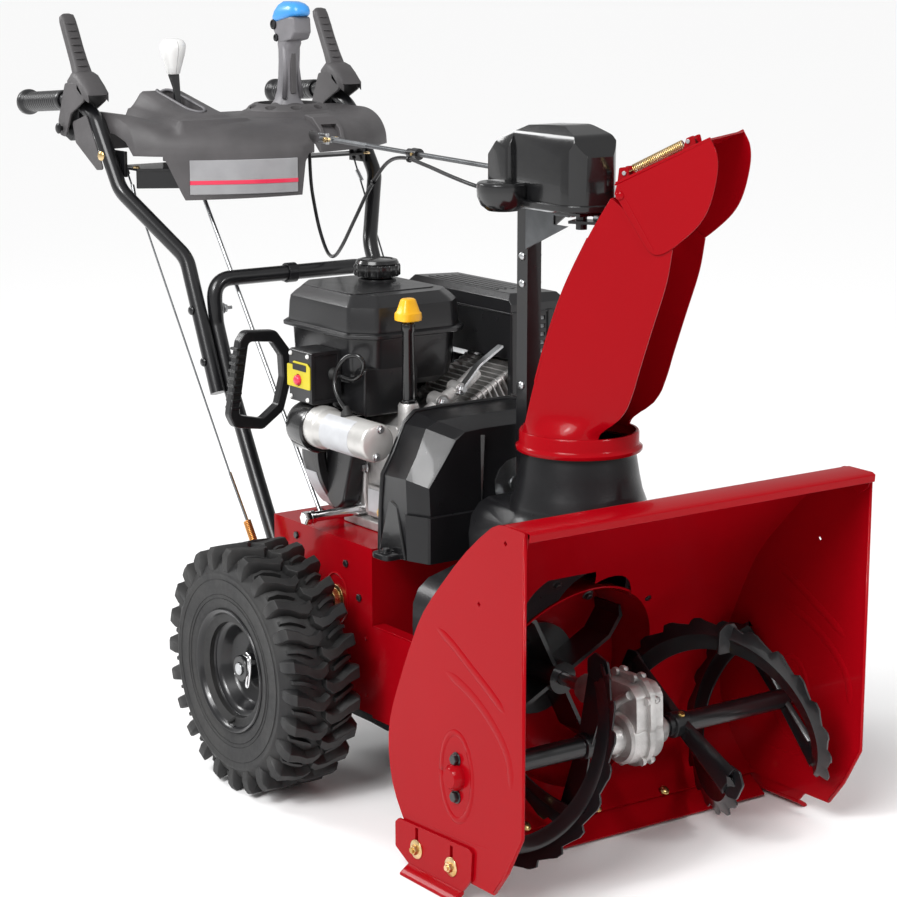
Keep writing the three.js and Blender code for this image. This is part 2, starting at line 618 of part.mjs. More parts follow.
function discAssembly() {
  const disc = [[0, 458], [8, 458]];
  const pulley = [[8, 470], [58, 470], [58, 472], [47, 476], [47, 480], [58, 484], [58, 486], [8, 486]];
  const plate = [[8, FRAME_FRONT_Y + 20], [82, FRAME_FRONT_Y + 20], [82, HEX_Y - 63], [0, HEX_Y - 63]];
  return turned([...disc, ...pulley, ...plate], 'y', [0, 0, DISC_Z], 16);
}
add('drive_disc', discAssembly(), CAST_ALUMINIUM);

function crankPulley() {
  const profile = [[0, 434], [12, 434], [12, 436], [40, 436], [40, 438], [29, 442], [29, 446], [40, 450], [40, 452],
    [16, 452], [16, 470], [40, 470], [40, 472], [29, 476], [29, 480], [40, 484], [40, 486], [12, 486], [12, 552],
    [0, 552]];
  return turned(profile, 'y', [0, 0, CRANK_Z], 14);
}
add('crank_pulley', crankPulley(), STEEL);

// ---------------------------------------------------------------- handlebars
function lowerHandle() {
  const leg = [[-LEG_X, 800, 205], [-LEG_X, 930, 424], [-LEG_X, 1004, 555], [-LEG_X, 1050, 660],
    [-LEG_X, 1058, 732]];
  const right = leg.map(([x, y, z]) => [-x, y, z]).reverse();
  return tube(rounded([...leg, ...right], 36), TUBE_R, 8);
}
add('lower_handle', lowerHandle(), BLACK_PAINT);

// The clamp under each grip tube that the control lever turns on.
function leverBracket() {
  const outline = [[1306, 1010], [1366, 1006], [1366, 950], [1336, 940], [1306, 968]];
  const block = slab('x', outline, -GRIP_X - 12, -GRIP_X + 12);
  const pin = rod([-GRIP_X - 28, PIVOT_Y, PIVOT_Z], [-GRIP_X + 28, PIVOT_Y, PIVOT_Z], 4, 10);
  return join(block, pin);
}

function upperHandle() {
  const route = [[-GRIP_X, 1518, 997], [-GRIP_X, 1330, 1012], [-GRIP_X, 1266, 984], [-GRIP_X, 1187, 872],
    [-UPPER_X, 1098, 765], [-UPPER_X, 1004, 555]];
  return join(tube(rounded(route, 60), TUBE_R, 8), leverBracket());
}
addPair('upper_handle', upperHandle(), BLACK_PAINT);

function grip() {
  const end = [-GRIP_X, LENGTH - 1.8, 996.7];
  const sleeve = rod(end, [-GRIP_X, 1376, 1008.4], 17, 16);
  const flange = rod(end, [-GRIP_X, LENGTH - 9, 997.3], 22, 16);
  const bore = rod([-GRIP_X, 1519, 997], [-GRIP_X, 1300, 1014.4], TUBE_R + GAP, 16);
  return cut(join(sleeve, flange), bore);
}
addPair('grip', grip(), RUBBER);

// ---------------------------------------------------------------- console
// The front edge bows forward between the tubes; the deck is the same all the way back.
const CONSOLE_FRONT = [[-236, 1168], [-202, 1130], [-150, 1098], [-90, 1072], [-20, 1054], [50, 1050],
  [120, 1064], [180, 1088], [236, 1128]];
const CONSOLE_Z = 984;
const SPEED_X = -104;
const SPEED_Y = 1252;
const STICK_X = 88;
const STICK_Y = 1212;
const STICK_Z = 958;

function consolePanel() {
  const outline = [...CONSOLE_FRONT, [236, 1300], [150, 1318], [-150, 1318], [-236, 1300]];
  const rim = CONSOLE_FRONT.map(([x, y]) => [x * 0.98, y + 4]);
  const room = [...rim, [232, 1296], [150, 1314], [-150, 1314], [-232, 1296]];
  const deck = cut(slab('z', outline, 926, CONSOLE_Z), slab('z', room, 900, CONSOLE_Z - 4));
  const skirtPath = [[-202, 1130], [-150, 1098], [-90, 1072], [-20, 1054], [16, 1051.5]];
  const skirt = slab('z', sheet(skirtPath, 4), 858, 930);
  const humpArch = [[SPEED_X - 78, 975], [SPEED_X - 60, 1004], [SPEED_X - 30, 1020], [SPEED_X + 30, 1020],
    [SPEED_X + 52, 1004], [SPEED_X + 62, 975]];
  const humpSide = slab('x', [[1140, 970], [1152, 992], [1186, 1012], [1240, 1022], [1310, 1010], [1310, 970]],
    SPEED_X - 90, SPEED_X + 90);
  const hump = common(slab('y', humpArch, 1130, 1310), humpSide);
  const humpRoom = common(slab('y', humpArch.map(([x, z]) => [SPEED_X + (x - SPEED_X) * 0.92, z - 5]), 1150, 1304),
    moved(humpSide, 0, 0, -4));
  const slot = box([SPEED_X - 14, SPEED_X + 14], [SPEED_Y - 62, SPEED_Y + 50], [900, 1060]);
  const collar = turned([[50.5, 970], [66, 970], [62, 986], [50.5, 992]], 'z', [STICK_X, STICK_Y, 0], 20);
  const stickHole = rod([STICK_X, STICK_Y, 900], [STICK_X, STICK_Y, 1060], 50.5, 20);
  const rodNotch = box([24, 66], [1000, 1090], [900, 968]);
  return join(cut(join(deck, skirt, hump, collar), humpRoom, slot, stickHole, rodNotch), consoleBracket());
}

// The plate under the deck, between the tubes, that carries the speed lever and the stick.
function consoleBracket() {
  const plate = box([-232, 232], [1200, 1236], [905, 908]);
  const tabs = [[-236, -231], [231, 236]].map((across) => box(across, [1198, 1238], [880, 932]));
  const lifts = [-30, 30].map((x) => box([STICK_X + x - 4, STICK_X + x + 4], [1202, 1222], [907, 962]));
  const ears = [-20, 20].map((x) => box([SPEED_X + x - 2, SPEED_X + x + 2], [1236, 1236 + 32], [905, 950]));
  const earFoot = box([SPEED_X - 22, SPEED_X + 22], [1228, 1268], [905, 908]);
  const opening = box([SPEED_X - 14, SPEED_X + 14], [1180, 1262], [890, 920]);
  return cut(join(plate, ...tabs, ...lifts, ...ears, earFoot), opening);
}
add('console_panel', consolePanel(), GREY_PLASTIC);

function speedLever() {
  const bar = slab('x', [[1246, 930], [1258, 930], [1262, 1000], [1266, 1072], [1260, 1072], [1252, 1000]],
    SPEED_X - 3, SPEED_X + 3);
  const pivot = rod([SPEED_X - 12, 1252, 936], [SPEED_X + 12, 1252, 936], 8, 12);
  const foot = slab('x', [[1248, 938], [1200, 915], [1203, 908], [1256, 930]], SPEED_X - 3, SPEED_X + 3);
  return join(bar, pivot, foot);
}
add('speed_lever', speedLever(), BLACK_PAINT);

function speedKnob() {
  const profile = [[0, 1056], [9, 1056], [12, 1064], [17, 1088], [17, 1100], [13, 1108], [0, 1111]];
  const knob = turned(profile, 'z', [SPEED_X, 1264, 0], 16);
  return cut(knob, box([SPEED_X - 3.4, SPEED_X + 3.4], [1250, 1268], [1040, 1072.5]));
}
add('speed_knob', speedKnob(), LIGHT_PLASTIC);

const SPEED_ROD = [[SPEED_X, 1196, 902], [SPEED_X, 1190, 880], [SPEED_X + 4, 818, 372], [SPEED_X + 4, 812, 340]];
add('speed_rod', tube(SPEED_ROD, 3.5, 8), STEEL);

// ---------------------------------------------------------------- chute control stick
function stickBall() {
  const inner = arc([0, 0], 45, 90, 22, 4);
  const outer = arc([0, 0], 48.8, 22, 90, 4);
  return turned([...inner, ...outer], 'z', [STICK_X, STICK_Y, STICK_Z], 16);
}

function stickYoke() {
  const bar = rod([STICK_X - 22, STICK_Y, STICK_Z], [STICK_X + 22, STICK_Y, STICK_Z], 5, 10);
  const spine = rod([STICK_X, STICK_Y - 32, STICK_Z - 16], [STICK_X, STICK_Y + 32, STICK_Z - 16], 5, 10);
  const block = box([STICK_X - 8, STICK_X + 8], [STICK_Y - 10, STICK_Y + 10], [STICK_Z - 22, STICK_Z + 6]);
  return join(bar, spine, block);
}
add('stick_yoke', stickYoke(), STEEL);

function stick() {
  const column = slab('x', [[STICK_Y - 22, 1000], [STICK_Y + 20, 1000], [STICK_Y + 8, 1040], [STICK_Y + 4, 1092],
    [STICK_Y + 6, 1118], [STICK_Y - 22, 1118], [STICK_Y - 18, 1092], [STICK_Y - 14, 1040]], STICK_X - 13, STICK_X + 13);
  const head = slab('x', [[STICK_Y - 26, 1112], [STICK_Y + 10, 1112], [STICK_Y + 22, 1130], [STICK_Y + 22, 1148],
    [STICK_Y - 46, 1140], [STICK_Y - 46, 1128]], STICK_X - 17, STICK_X + 17);
  return join(stickBall(), column, head);
}
add('control_stick', stick(), GREY_PLASTIC);

function stickTrigger() {
  const outline = [[STICK_Y - 56, 1138], [STICK_Y - 50, 1145], [STICK_Y + 26, 1150], [STICK_Y + 26, 1156],
    [STICK_Y + 6, 1172], [STICK_Y - 30, 1170], [STICK_Y - 54, 1152]];
  return slab('x', outline, STICK_X - 19, STICK_X + 19);
}
add('stick_trigger', stickTrigger(), BLUE_PLASTIC);

// ---------------------------------------------------------------- control levers
function controlLever() {
  const blade = slab('x', [[1352, 1148], [1372, 1146], [1374, 1138], [1312, 1024], [1290, 1024], [1296, 1060],
    [1350, 1142]], -GRIP_X - 14, -GRIP_X + 14);
  const hood = slab('x', [[1240, 1010], [1262, 1034], [1296, 1052], [1330, 1050], [1336, 1034], [1262, 1008],
    [1246, 1003]], -GRIP_X - 22, -GRIP_X + 22);
  const cheekOutline = [[1262, 1012], [1300, 1034], [1336, 1034], [1358, 972], [1352, 956], [1338, 956], [1300, 1000]];
  const cheek = slab('x', cheekOutline, -GRIP_X - 21.6, -GRIP_X - 17.6);
  const otherCheek = slab('x', cheekOutline, -GRIP_X + 17.6, -GRIP_X + 21.6);
  const pinHoles = rod([-GRIP_X - 40, PIVOT_Y, PIVOT_Z], [-GRIP_X + 40, PIVOT_Y, PIVOT_Z], 4 + GAP, 10);
  return cut(join(blade, hood, cheek, otherCheek), pinHoles);
}
addPair('control_lever', controlLever(), GREY_PLASTIC);

// ---------------------------------------------------------------- cables and springs beside the handle
// Each control wire ends in the tension spring that pulls its clutch arm.
const WIRE_TOP = [-222, 1196, 872];
const WIRE_LOW = [-205, 928, 440];
const WIRE_SPRING = [-200, 884, 368];
const WIRE_HOOK = [-198.5, 862, 332];

function controlWire() {
  return join(tube([WIRE_TOP, WIRE_LOW, WIRE_SPRING, WIRE_HOOK], 1.8, 6), rod(WIRE_SPRING, WIRE_HOOK, 6, 10));
}
addPair('control_wire', controlWire(), STEEL);

// ---------------------------------------------------------------- chute controls to the gear head
const ROD_FRONT = [0, 452, 950];
const ROD_REAR = [45, 1046, 954];

function chuteRod() {
  const at = (t) => ROD_FRONT.map((v, i) => v + (ROD_REAR[i] - v) * t);
  const joints = [[0.46, 0.5], [0.93, 0.97], [0.05, 0.09]].map(([from, to]) => rod(at(from), at(to), 8, 8));
  return join(rod(ROD_FRONT, ROD_REAR, 4, 10), ...joints);
}
add('chute_rod', chuteRod(), STEEL);

const CABLE_R = 3;
const DEFLECTOR_CABLE = [[76, 1120, 872], [76, 1112, 840], [74, 1092, 796], [66, 1056, 762], [50, 1010, 760],
  [34, 960, 784], [20, 900, 834], [8, 836, 892], [-4, 770, 936], [-20, 700, 950], [-36, 620, 946],
  [-50, 540, 938], [-58, 480, 932], [-58, 444, 928]];
add('deflector_cable', tube(DEFLECTOR_CABLE, CABLE_R, 8), BLACK_PLASTIC);

// ---------------------------------------------------------------- engine
function engineBlock() {
  const [x0, x1] = [-92, 96];
  const base = box([x0 - 14, x1 + 10], [584, 752], [FRAME_TOP_Z + GAP, 398]);
  const crankcase = slab('y', [[x0, 396], [x1, 396], [x1, 520], [70, 560], [-60, 566], [x0, 530]], 572, 760);
  const nose = rod([0, 556, CRANK_Z], [0, 580, CRANK_Z], 34, 20);
  const fins = [];
  for (let i = 0; i < 7; i += 1) {
    const along = 62 + i * 15;
    const fin = box([-52, 52], [592, 730], [along, along + 6]);
    fin.rotateY(THREE.MathUtils.degToRad(62));
    fins.push(fin.translate(0, 0, CRANK_Z + 26));
  }
  const bore = box([-38, 38], [606, 716], [30, 175]);
  bore.rotateY(THREE.MathUtils.degToRad(62));
  const crankRoom = rod([0, 540, CRANK_Z], [0, 600, CRANK_Z], 12 + GAP, 16);
  const fillRoom = rod([-82, 600, 520], [-82, 600, 720], 6, 12);
  const fillBoss = rod([-82, 600, 540], [-82, 600, 592], 15, 16);
  const fillTube = rod([-82, 600, 580], [-82, 600, 715], 10, 12);
  const drain = rod([-200, 706, 408], [-80, 706, 408], 8, 12);
  const drainCap = rod([-206, 706, 408], [-194, 706, 408], 11, 6);
  return cut(join(base, crankcase, nose, bore.translate(0, 0, CRANK_Z + 26), ...fins, fillBoss, fillTube, drain,
    drainCap), crankRoom, fillRoom);
}
add('engine_block', engineBlock(), CAST_ALUMINIUM);

// A V-belt loop round two pulleys, in a plane of constant Y.
function belt(y, zLow, radiusLow, zHigh, radiusHigh, thickness) {
  const sine = (radiusLow - radiusHigh) / (zHigh - zLow);
  const tilt = THREE.MathUtils.radToDeg(Math.asin(sine));
  const loop = (grow) => [...arc([0, zHigh], radiusHigh + grow, tilt, 180 - tilt, 7),
    ...arc([0, zLow], radiusLow + grow, 180 - tilt, 360 + tilt, 12)];
  return cut(slab('y', loop(thickness), y - 2, y + 2), slab('y', loop(0), y - 3, y + 3));
}
add('auger_belt', belt(444, IMPELLER_Z, 74.4, CRANK_Z, 30.2, 8), RUBBER);
add('traction_belt', belt(478, DISC_Z, 47.6, CRANK_Z, 30.2, 8), RUBBER);

function beltCover() {
  const outline = [[-168, 386], [-163, 500], [-142, 533], [-120, 578], [-100, 586], [84, 586], [106, 568],
    [122, 500], [126, 386]];
  const inner = [[-164, 380], [-159, 499], [-138, 531], [-117, 575], [-98, 582], [82, 582], [102, 566], [118, 499],
    [122, 380]];
  const shell = cut(slab('y', outline, 428, 552), slab('y', inner, 432, 560));
  const foot = box([-168, -126], [545, 566], [386, 392]);
  return join(shell, foot);
}
add('belt_cover', beltCover(), BLACK_PLASTIC);

function fuelTank() {
  const rimPlan = [[-146, 670], [-112, 636], [34, 636], [66, 668], [66, 838], [0, 892], [-100, 892], [-146, 848]];
  const grow = (scale, inset) => rimPlan.map(([x, y]) => [-40 + (x + 40) * scale, 764 + (y - 764) * inset]);
  const low = slab('z', grow(0.9, 0.9), 612, 686);
  const flange = slab('z', grow(1.03, 1.03), 686, 694);
  const high = slab('z', grow(0.95, 0.95), 694, 738);
  const top = slab('z', grow(0.86, 0.86), 738, 748);
  const neck = rod([-4, 800, 746], [-4, 800, 756], 22, 16);
  const recoilRoom = rod([-14, 750, 496], [-14, 900, 496], 132, 20);
  return join(cut(low, recoilRoom), flange, high, top, neck);
}
add('fuel_tank', fuelTank(), BLACK_PLASTIC);

function fuelCap() {
  const outline = [];
  for (let i = 0; i < 24; i += 1) {
    const radius = i % 2 === 0 ? 37 : 34.5;
    const angle = (2 * Math.PI * i) / 24;
    outline.push([-4 + radius * Math.cos(angle), 800 + radius * Math.sin(angle)]);
  }
  const skirt = slab('z', outline, 757, 776);
  return join(skirt, turned([[0, 770], [33, 770], [30, 782], [0, 785]], 'z', [-4, 800, 0], 24));
}
add('fuel_cap', fuelCap(), BLACK_PLASTIC);

function mufflerCover() {
  const [x0, x1, y0, y1] = [94, 206, 578, 862];
  const outline = [[x0, 586], [x1, 586], [x1, 716], [x1 - 16, 740], [x0 + 8, 744], [x0, 736]];
  const shell = cut(slab('y', outline, y0, y1), box([x0 + 4, x1 - 4], [y0 + 4, y1 - 4], [580, 734]));
  const louvres = [];
  for (let i = 0; i < 6; i += 1) {
    louvres.push(box([x0 + 16, x1 - 16], [y0 - 5, y0 + 9], [628 + i * 16, 634 + i * 16]));
  }
  const finRoom = box([x0 - 5, x0 + 5], [y0 + 8, 736], [580, 642]);
  return cut(shell, finRoom, ...louvres);
}
add('muffler_cover', mufflerCover(), BLACK_PLASTIC);

function recoilHousing() {
  const bell = [[0, 846], [40, 846], [70, 838], [112, 826], [126, 806], [130, 764], [0, 764]];
  const hood = turned(bell, 'y', [-14, 0, 496], 20);
  const slots = [];
  for (let i = 0; i < 6; i += 1) {
    const slot = box([58, 100], [700, 900], [-5, 5]);
    slot.rotateY((Math.PI * i) / 3);
    slots.push(slot.translate(-14, 0, 496));
  }
  const room = turned([[0, 760], [125, 760], [121, 802], [108, 821], [0, 832]], 'y', [-14, 0, 496], 20);
  const guide = rod([-128, 812, 600], [-60, 812, 560], 11, 12);
  const frameTop = box([-160, 160], [740, 900], [300, FRAME_TOP_Z + GAP]);
  return cut(join(hood, guide), room, frameTop, ...slots);
}
add('recoil_housing', recoilHousing(), BLACK_PLASTIC);

function starterHandle() {
  const outer = [[-128, 604], [-132, 642], [-158, 676], [-214, 680], [-226, 664], [-246, 548], [-236, 528],
    [-184, 520], [-146, 546]];
  const inner = [[-147, 600], [-149, 634], [-166, 658], [-208, 662], [-228, 548], [-186, 538], [-158, 558]];
  return cut(slab('y', outer, 854, 872), slab('y', inner, 840, 890));
}
add('starter_handle', starterHandle(), BLACK_PLASTIC);

function starterMotor() {
  const barrel = turned([[0, 551], [24, 551], [29.5, 556], [29.5, 688], [33, 690], [33, 716], [0, 716]], 'y',
    [-170, 0, 548], 18);
  const cup = turned([[0, 715], [35, 715], [35, 752], [28, 760], [0, 760]], 'y', [-168, 0, 545], 18);
  const ear = box([-150, -92.6], [700, 716], [520, 560]);
  return join(barrel, cup, ear);
}
add('starter_motor', starterMotor(), CAST_ALUMINIUM);

function switchBox() {
  const body = box([-190, -136], [705, 767], [583, 664]);
  const guard = box([-192, -190], [700, 772], [606, 646]);
  return cut(join(body, guard), rod([-200, 737, 618], [-176, 737, 618], 9, 14));
}
add('switch_box', switchBox(), BLACK_PLASTIC);

add('starter_button', rod([-197, 737, 618], [-180, 737, 618], 8, 12), RED_PLASTIC);

const LEAD_R = 3.5;
const STARTER_LEAD = [[-150, 704, 628], [-146, 688, 626], [-140, 666, 624], [-138, 646, 634], [-140, 634, 652],
  [-146, 642, 664], [-154, 660, 660], [-164, 672, 640], [-170, 668, 616], [-172, 652, 598], [-172, 634, 586]];
add('starter_lead', tube(STARTER_LEAD, LEAD_R, 8), RUBBER);

function dipstick() {
  const cap = turned([[0, 716 + GAP], [14, 716 + GAP], [19, 722], [19, 730], [14, 744], [8, 750], [0, 751]], 'z',
    [-82, 600, 0], 16);
  return join(cap, rod([-82, 600, 540], [-82, 600, 718], 2.5, 8));
}
add('oil_dipstick', dipstick(), YELLOW_PLASTIC);

export default machine;
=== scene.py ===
import math

import bmesh
import bpy
from mathutils import Matrix, Vector


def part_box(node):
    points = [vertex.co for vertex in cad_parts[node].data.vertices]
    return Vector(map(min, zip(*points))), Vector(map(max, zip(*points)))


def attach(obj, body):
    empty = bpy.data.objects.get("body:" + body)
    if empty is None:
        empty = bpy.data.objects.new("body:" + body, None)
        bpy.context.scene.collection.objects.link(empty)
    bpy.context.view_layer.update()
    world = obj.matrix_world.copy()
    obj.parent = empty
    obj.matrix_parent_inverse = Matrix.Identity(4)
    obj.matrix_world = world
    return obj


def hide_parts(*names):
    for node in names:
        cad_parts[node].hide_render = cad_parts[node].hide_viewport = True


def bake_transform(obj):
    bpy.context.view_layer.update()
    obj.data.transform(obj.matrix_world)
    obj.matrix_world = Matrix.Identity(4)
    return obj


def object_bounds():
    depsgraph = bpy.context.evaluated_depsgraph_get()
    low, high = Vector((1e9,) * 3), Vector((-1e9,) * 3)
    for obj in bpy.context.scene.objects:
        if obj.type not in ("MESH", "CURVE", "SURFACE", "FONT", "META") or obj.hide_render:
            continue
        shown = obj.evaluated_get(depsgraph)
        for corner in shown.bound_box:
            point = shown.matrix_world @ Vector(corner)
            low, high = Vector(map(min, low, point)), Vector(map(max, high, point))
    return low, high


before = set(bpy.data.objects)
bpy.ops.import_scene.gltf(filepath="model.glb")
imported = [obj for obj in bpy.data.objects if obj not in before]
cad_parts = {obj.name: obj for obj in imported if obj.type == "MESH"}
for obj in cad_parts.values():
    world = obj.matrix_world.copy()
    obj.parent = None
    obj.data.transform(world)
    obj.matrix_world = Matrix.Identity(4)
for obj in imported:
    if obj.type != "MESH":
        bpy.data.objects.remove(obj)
cad_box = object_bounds()

# Shapes are written in millimetres, with Y counted from the auger housing's front lip.
MM = 0.001
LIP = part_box("auger_housing")[0].y

HOUSING_X = 305                   # inner half width of the auger housing
AUGER = (158, 172)                # auger axis, (y, z)
IMPELLER_Z = 214
WHEEL = (702, 190.5)              # wheel axis, (y, z)
WHEEL_X = 285
CHUTE_HALF = 70
GRIP_X = 250
SPEED_X = -104
STICK = (88, 1212, 958)
RECOIL = (-14, 496)               # starter axis, (x, z)
FRAME_X = 170                     # outer half width of the traction frame
HANDLE_RADIUS = 12.7
SHEET = 3                         # thickness of the housing's sheet metal
LEG_X = 153.5                     # the legs of the lower handle
STARTER = (-170, 548)             # starter motor axis, (x, z)
DIPSTICK = (-82, 600)             # (x, y)
FUEL_CAP = (-4, 800)              # (x, y)
POST_BOLTS = (830, 790, 640, 470)
DISCHARGE_Y = 288                 # the chute turns about a vertical axis here, at x = 0
CHUTE_PLACE = Matrix.Translation((0, DISCHARGE_Y, 0)) @ Matrix.Rotation(math.radians(30), 4, "Z")

RIGHT_LEFT = (("right", -1), ("left", 1))
NEAR_FAR = (("near", -1), ("far", 1))
# A shape drawn for the right side, and the same shape mirrored to the left.
SIDES = (("right", Matrix.Diagonal((1, 1, 1, 1))), ("left", Matrix.Diagonal((-1, 1, 1, 1))))


# ---------------------------------------------------------------- camera, light and floor
CAMERA_AT = (-2.1537, -3.1874, 1.3024)
CAMERA_ANGLES = (-35.348, 12.03)  # azimuth and elevation
LENS, SENSOR = 99.17, 36          # millimetres
FLOOR_SIZE = 140                  # metres, so wide that the floor fills the background
FLOOR_GAP = 0.0005                # metres below the machine
LIGHTS = (                        # name, kind, place, power, size or angle
    ("sun", "SUN", (-1.0, -0.40, 1.0), 2.3, 0.6),
    ("key", "AREA", (-2.6, -1.2, 2.6), 30, 0.5),
    ("strip", "AREA", (0.9, -3.2, 2.2), 26, 0.6),
    ("back", "AREA", (-1.6, 2.6, 2.4), 40, 1.0),
)


def stage():
    camera = bpy.data.objects.new("camera", bpy.data.cameras.new("camera"))
    bpy.context.scene.collection.objects.link(camera)
    azimuth, elevation = (math.radians(angle) for angle in CAMERA_ANGLES)
    back = Vector((math.sin(azimuth) * math.cos(elevation), -math.cos(azimuth) * math.cos(elevation),
                   math.sin(elevation)))
    camera.location = CAMERA_AT
    camera.rotation_mode = "QUATERNION"
    camera.rotation_quaternion = (-back).to_track_quat("-Z", "Y")
    camera.data.lens = LENS
    camera.data.sensor_width = SENSOR
    bpy.context.scene.camera = camera

    world = bpy.data.worlds.new("studio")
    world.use_nodes = True
    world.node_tree.nodes["Background"].inputs[0].default_value = (1, 1, 1, 1)
    world.node_tree.nodes["Background"].inputs[1].default_value = 0.5
    bpy.context.scene.world = world
    for name, kind, place, power, size in LIGHTS:
        light = bpy.data.objects.new(name, bpy.data.lights.new(name, kind))
        light.data.energy = power
        if kind == "SUN":
            light.data.angle = size
        else:
            light.data.size = size
        light.location = place
        light.rotation_mode = "QUATERNION"
        aim = Vector((0, 0, 0)) if kind == "SUN" else Vector((0, 0, 0.5))
        light.rotation_quaternion = (aim - Vector(place)).to_track_quat("-Z", "Y")
        bpy.context.scene.collection.objects.link(light)

    bpy.ops.mesh.primitive_plane_add(size=FLOOR_SIZE, location=(0, 0, cad_box[0].z - FLOOR_GAP))
    floor = bpy.context.object
    floor.name = "floor"
    paper = bpy.data.materials.new("paper")
    paper.use_nodes = True
    paper.node_tree.nodes["Principled BSDF"].inputs["Base Color"].default_value = (0.98, 0.98, 0.98, 1)
    paper.node_tree.nodes["Principled BSDF"].inputs["Roughness"].default_value = 0.9
    floor.data.materials.append(paper)
    bpy.context.scene.view_settings.view_transform = "Standard"


stage()


# ---------------------------------------------------------------- materials
def noise(tree, scale, detail):
    """A noise pattern that is fixed to the object."""
    coordinates = tree.nodes.new("ShaderNodeTexCoord")
    texture = tree.nodes.new("ShaderNodeTexNoise")
    texture.inputs["Scale"].default_value = scale
    texture.inputs["Detail"].default_value = detail
    tree.links.new(coordinates.outputs["Object"], texture.inputs["Vector"])
    return texture.outputs["Fac"]


def ramp(tree, value, stops):
    """A colour for every value between the stops."""
    node = tree.nodes.new("ShaderNodeValToRGB")
    tree.links.new(value, node.inputs["Fac"])
    for i, (place, colour) in enumerate(stops):
        stop = node.color_ramp.elements[i] if i < 2 else node.color_ramp.elements.new(place)
        stop.position = place
        stop.color = (*colour, 1)
    return node.outputs["Color"]


PAINTS = {}


def material(name, colour, rough, metal=0.0, coat=0.0, mottle=(6, 0.08), grain=(900, 0.05), tint=None,
             rough_spread=0.06, shine=0.5):
    """A paint, plastic or metal: mottled colour, uneven gloss and a fine grain in relief."""
    made = bpy.data.materials.new(name)
    made.use_nodes = True
    tree = made.node_tree
    shader = tree.nodes["Principled BSDF"]
    dark = [c * (1 - mottle[1]) for c in colour]
    light = list(tint) if tint else [min(1, c * (1 + mottle[1])) for c in colour]
    patches = noise(tree, mottle[0], 4.0)
    tree.links.new(ramp(tree, patches, [(0.35, dark), (0.65, light)]), shader.inputs["Base Color"])
    spread = tree.nodes.new("ShaderNodeMapRange")
    spread.inputs["To Min"].default_value = max(0.02, rough - rough_spread)
    spread.inputs["To Max"].default_value = rough + rough_spread
    tree.links.new(noise(tree, mottle[0] * 7, 3.0), spread.inputs["Value"])
    tree.links.new(spread.outputs["Result"], shader.inputs["Roughness"])
    relief = tree.nodes.new("ShaderNodeBump")
    relief.inputs["Strength"].default_value = grain[1]
    relief.inputs["Distance"].default_value = 0.0006
    tree.links.new(noise(tree, grain[0], 2.0), relief.inputs["Height"])
    tree.links.new(relief.outputs["Normal"], shader.inputs["Normal"])
    shader.inputs["Metallic"].default_value = metal
    shader.inputs["Coat Weight"].default_value = coat
    shader.inputs["Coat Roughness"].default_value = 0.05
    shader.inputs["Specular IOR Level"].default_value = shine
    PAINTS[name] = made


material("red_paint", (0.30, 0.0012, 0.005), 0.2, coat=0.14, mottle=(3, 0.03), grain=(260, 0.03), shine=0.05)
material("black_paint", (0.006, 0.006, 0.007), 0.30, coat=0.35, grain=(300, 0.06), shine=0.4)
material("black_plastic", (0.0080, 0.0080, 0.0090), 0.30, coat=0.10, mottle=(9, 0.18), grain=(1500, 0.2),
         shine=0.28)
material("gloss_plastic", (0.006, 0.006, 0.0065), 0.20, coat=0.35, mottle=(9, 0.2), grain=(300, 0.08))
material("grey_plastic", (0.066, 0.062, 0.064), 0.5, mottle=(14, 0.16), grain=(1300, 0.45))
material("grey_light", (0.16, 0.155, 0.165), 0.42, mottle=(16, 0.2), grain=(1300, 0.35))
material("satin_plastic", (0.011, 0.011, 0.012), 0.3, coat=0.12, mottle=(7, 0.2), grain=(1200, 0.12),
         shine=0.45)
material("zinc_dark", (0.10, 0.105, 0.11), 0.4, metal=0.6, mottle=(30, 0.15), grain=(700, 0.2))
material("badge_grey", (0.30, 0.30, 0.31), 0.32, coat=0.3, mottle=(30, 0.06))
material("bright_aluminium", (0.62, 0.61, 0.59), 0.36, metal=0.55, mottle=(20, 0.1), grain=(500, 0.3))
material("copper_zinc", (0.72, 0.36, 0.12), 0.3, metal=1.0, mottle=(50, 0.15))
material("white_plastic", (0.80, 0.80, 0.79), 0.25, coat=0.3, mottle=(20, 0.02))
material("blue_plastic", (0.045, 0.30, 0.74), 0.3, coat=0.2, mottle=(18, 0.05))
material("yellow_plastic", (0.92, 0.47, 0.012), 0.32, mottle=(20, 0.05))
material("red_plastic", (0.72, 0.03, 0.08), 0.3, coat=0.3, mottle=(20, 0.05))
material("rubber", (0.010, 0.010, 0.010), 0.62, mottle=(20, 0.2), grain=(1100, 0.4))
material("tyre", (0.008, 0.008, 0.009), 0.56, mottle=(16, 0.3), tint=(0.018, 0.0175, 0.017),
         grain=(620, 0.5), rough_spread=0.12)
material("cast_aluminium", (0.52, 0.51, 0.50), 0.42, metal=0.75, mottle=(30, 0.22), grain=(520, 0.75),
         rough_spread=0.12)
material("steel", (0.52, 0.53, 0.54), 0.3, metal=1.0, mottle=(60, 0.14), grain=(900, 0.2))
material("gold_zinc", (0.70, 0.47, 0.14), 0.28, metal=1.0, mottle=(45, 0.2), tint=(0.82, 0.62, 0.36),
         grain=(900, 0.15))
material("chrome", (0.78, 0.78, 0.79), 0.12, metal=1.0, mottle=(30, 0.05), grain=(500, 0.05))
material("label", (0.50, 0.51, 0.53), 0.4, mottle=(40, 0.06))
material("label_yellow", (0.56, 0.47, 0.015), 0.4, mottle=(40, 0.06))


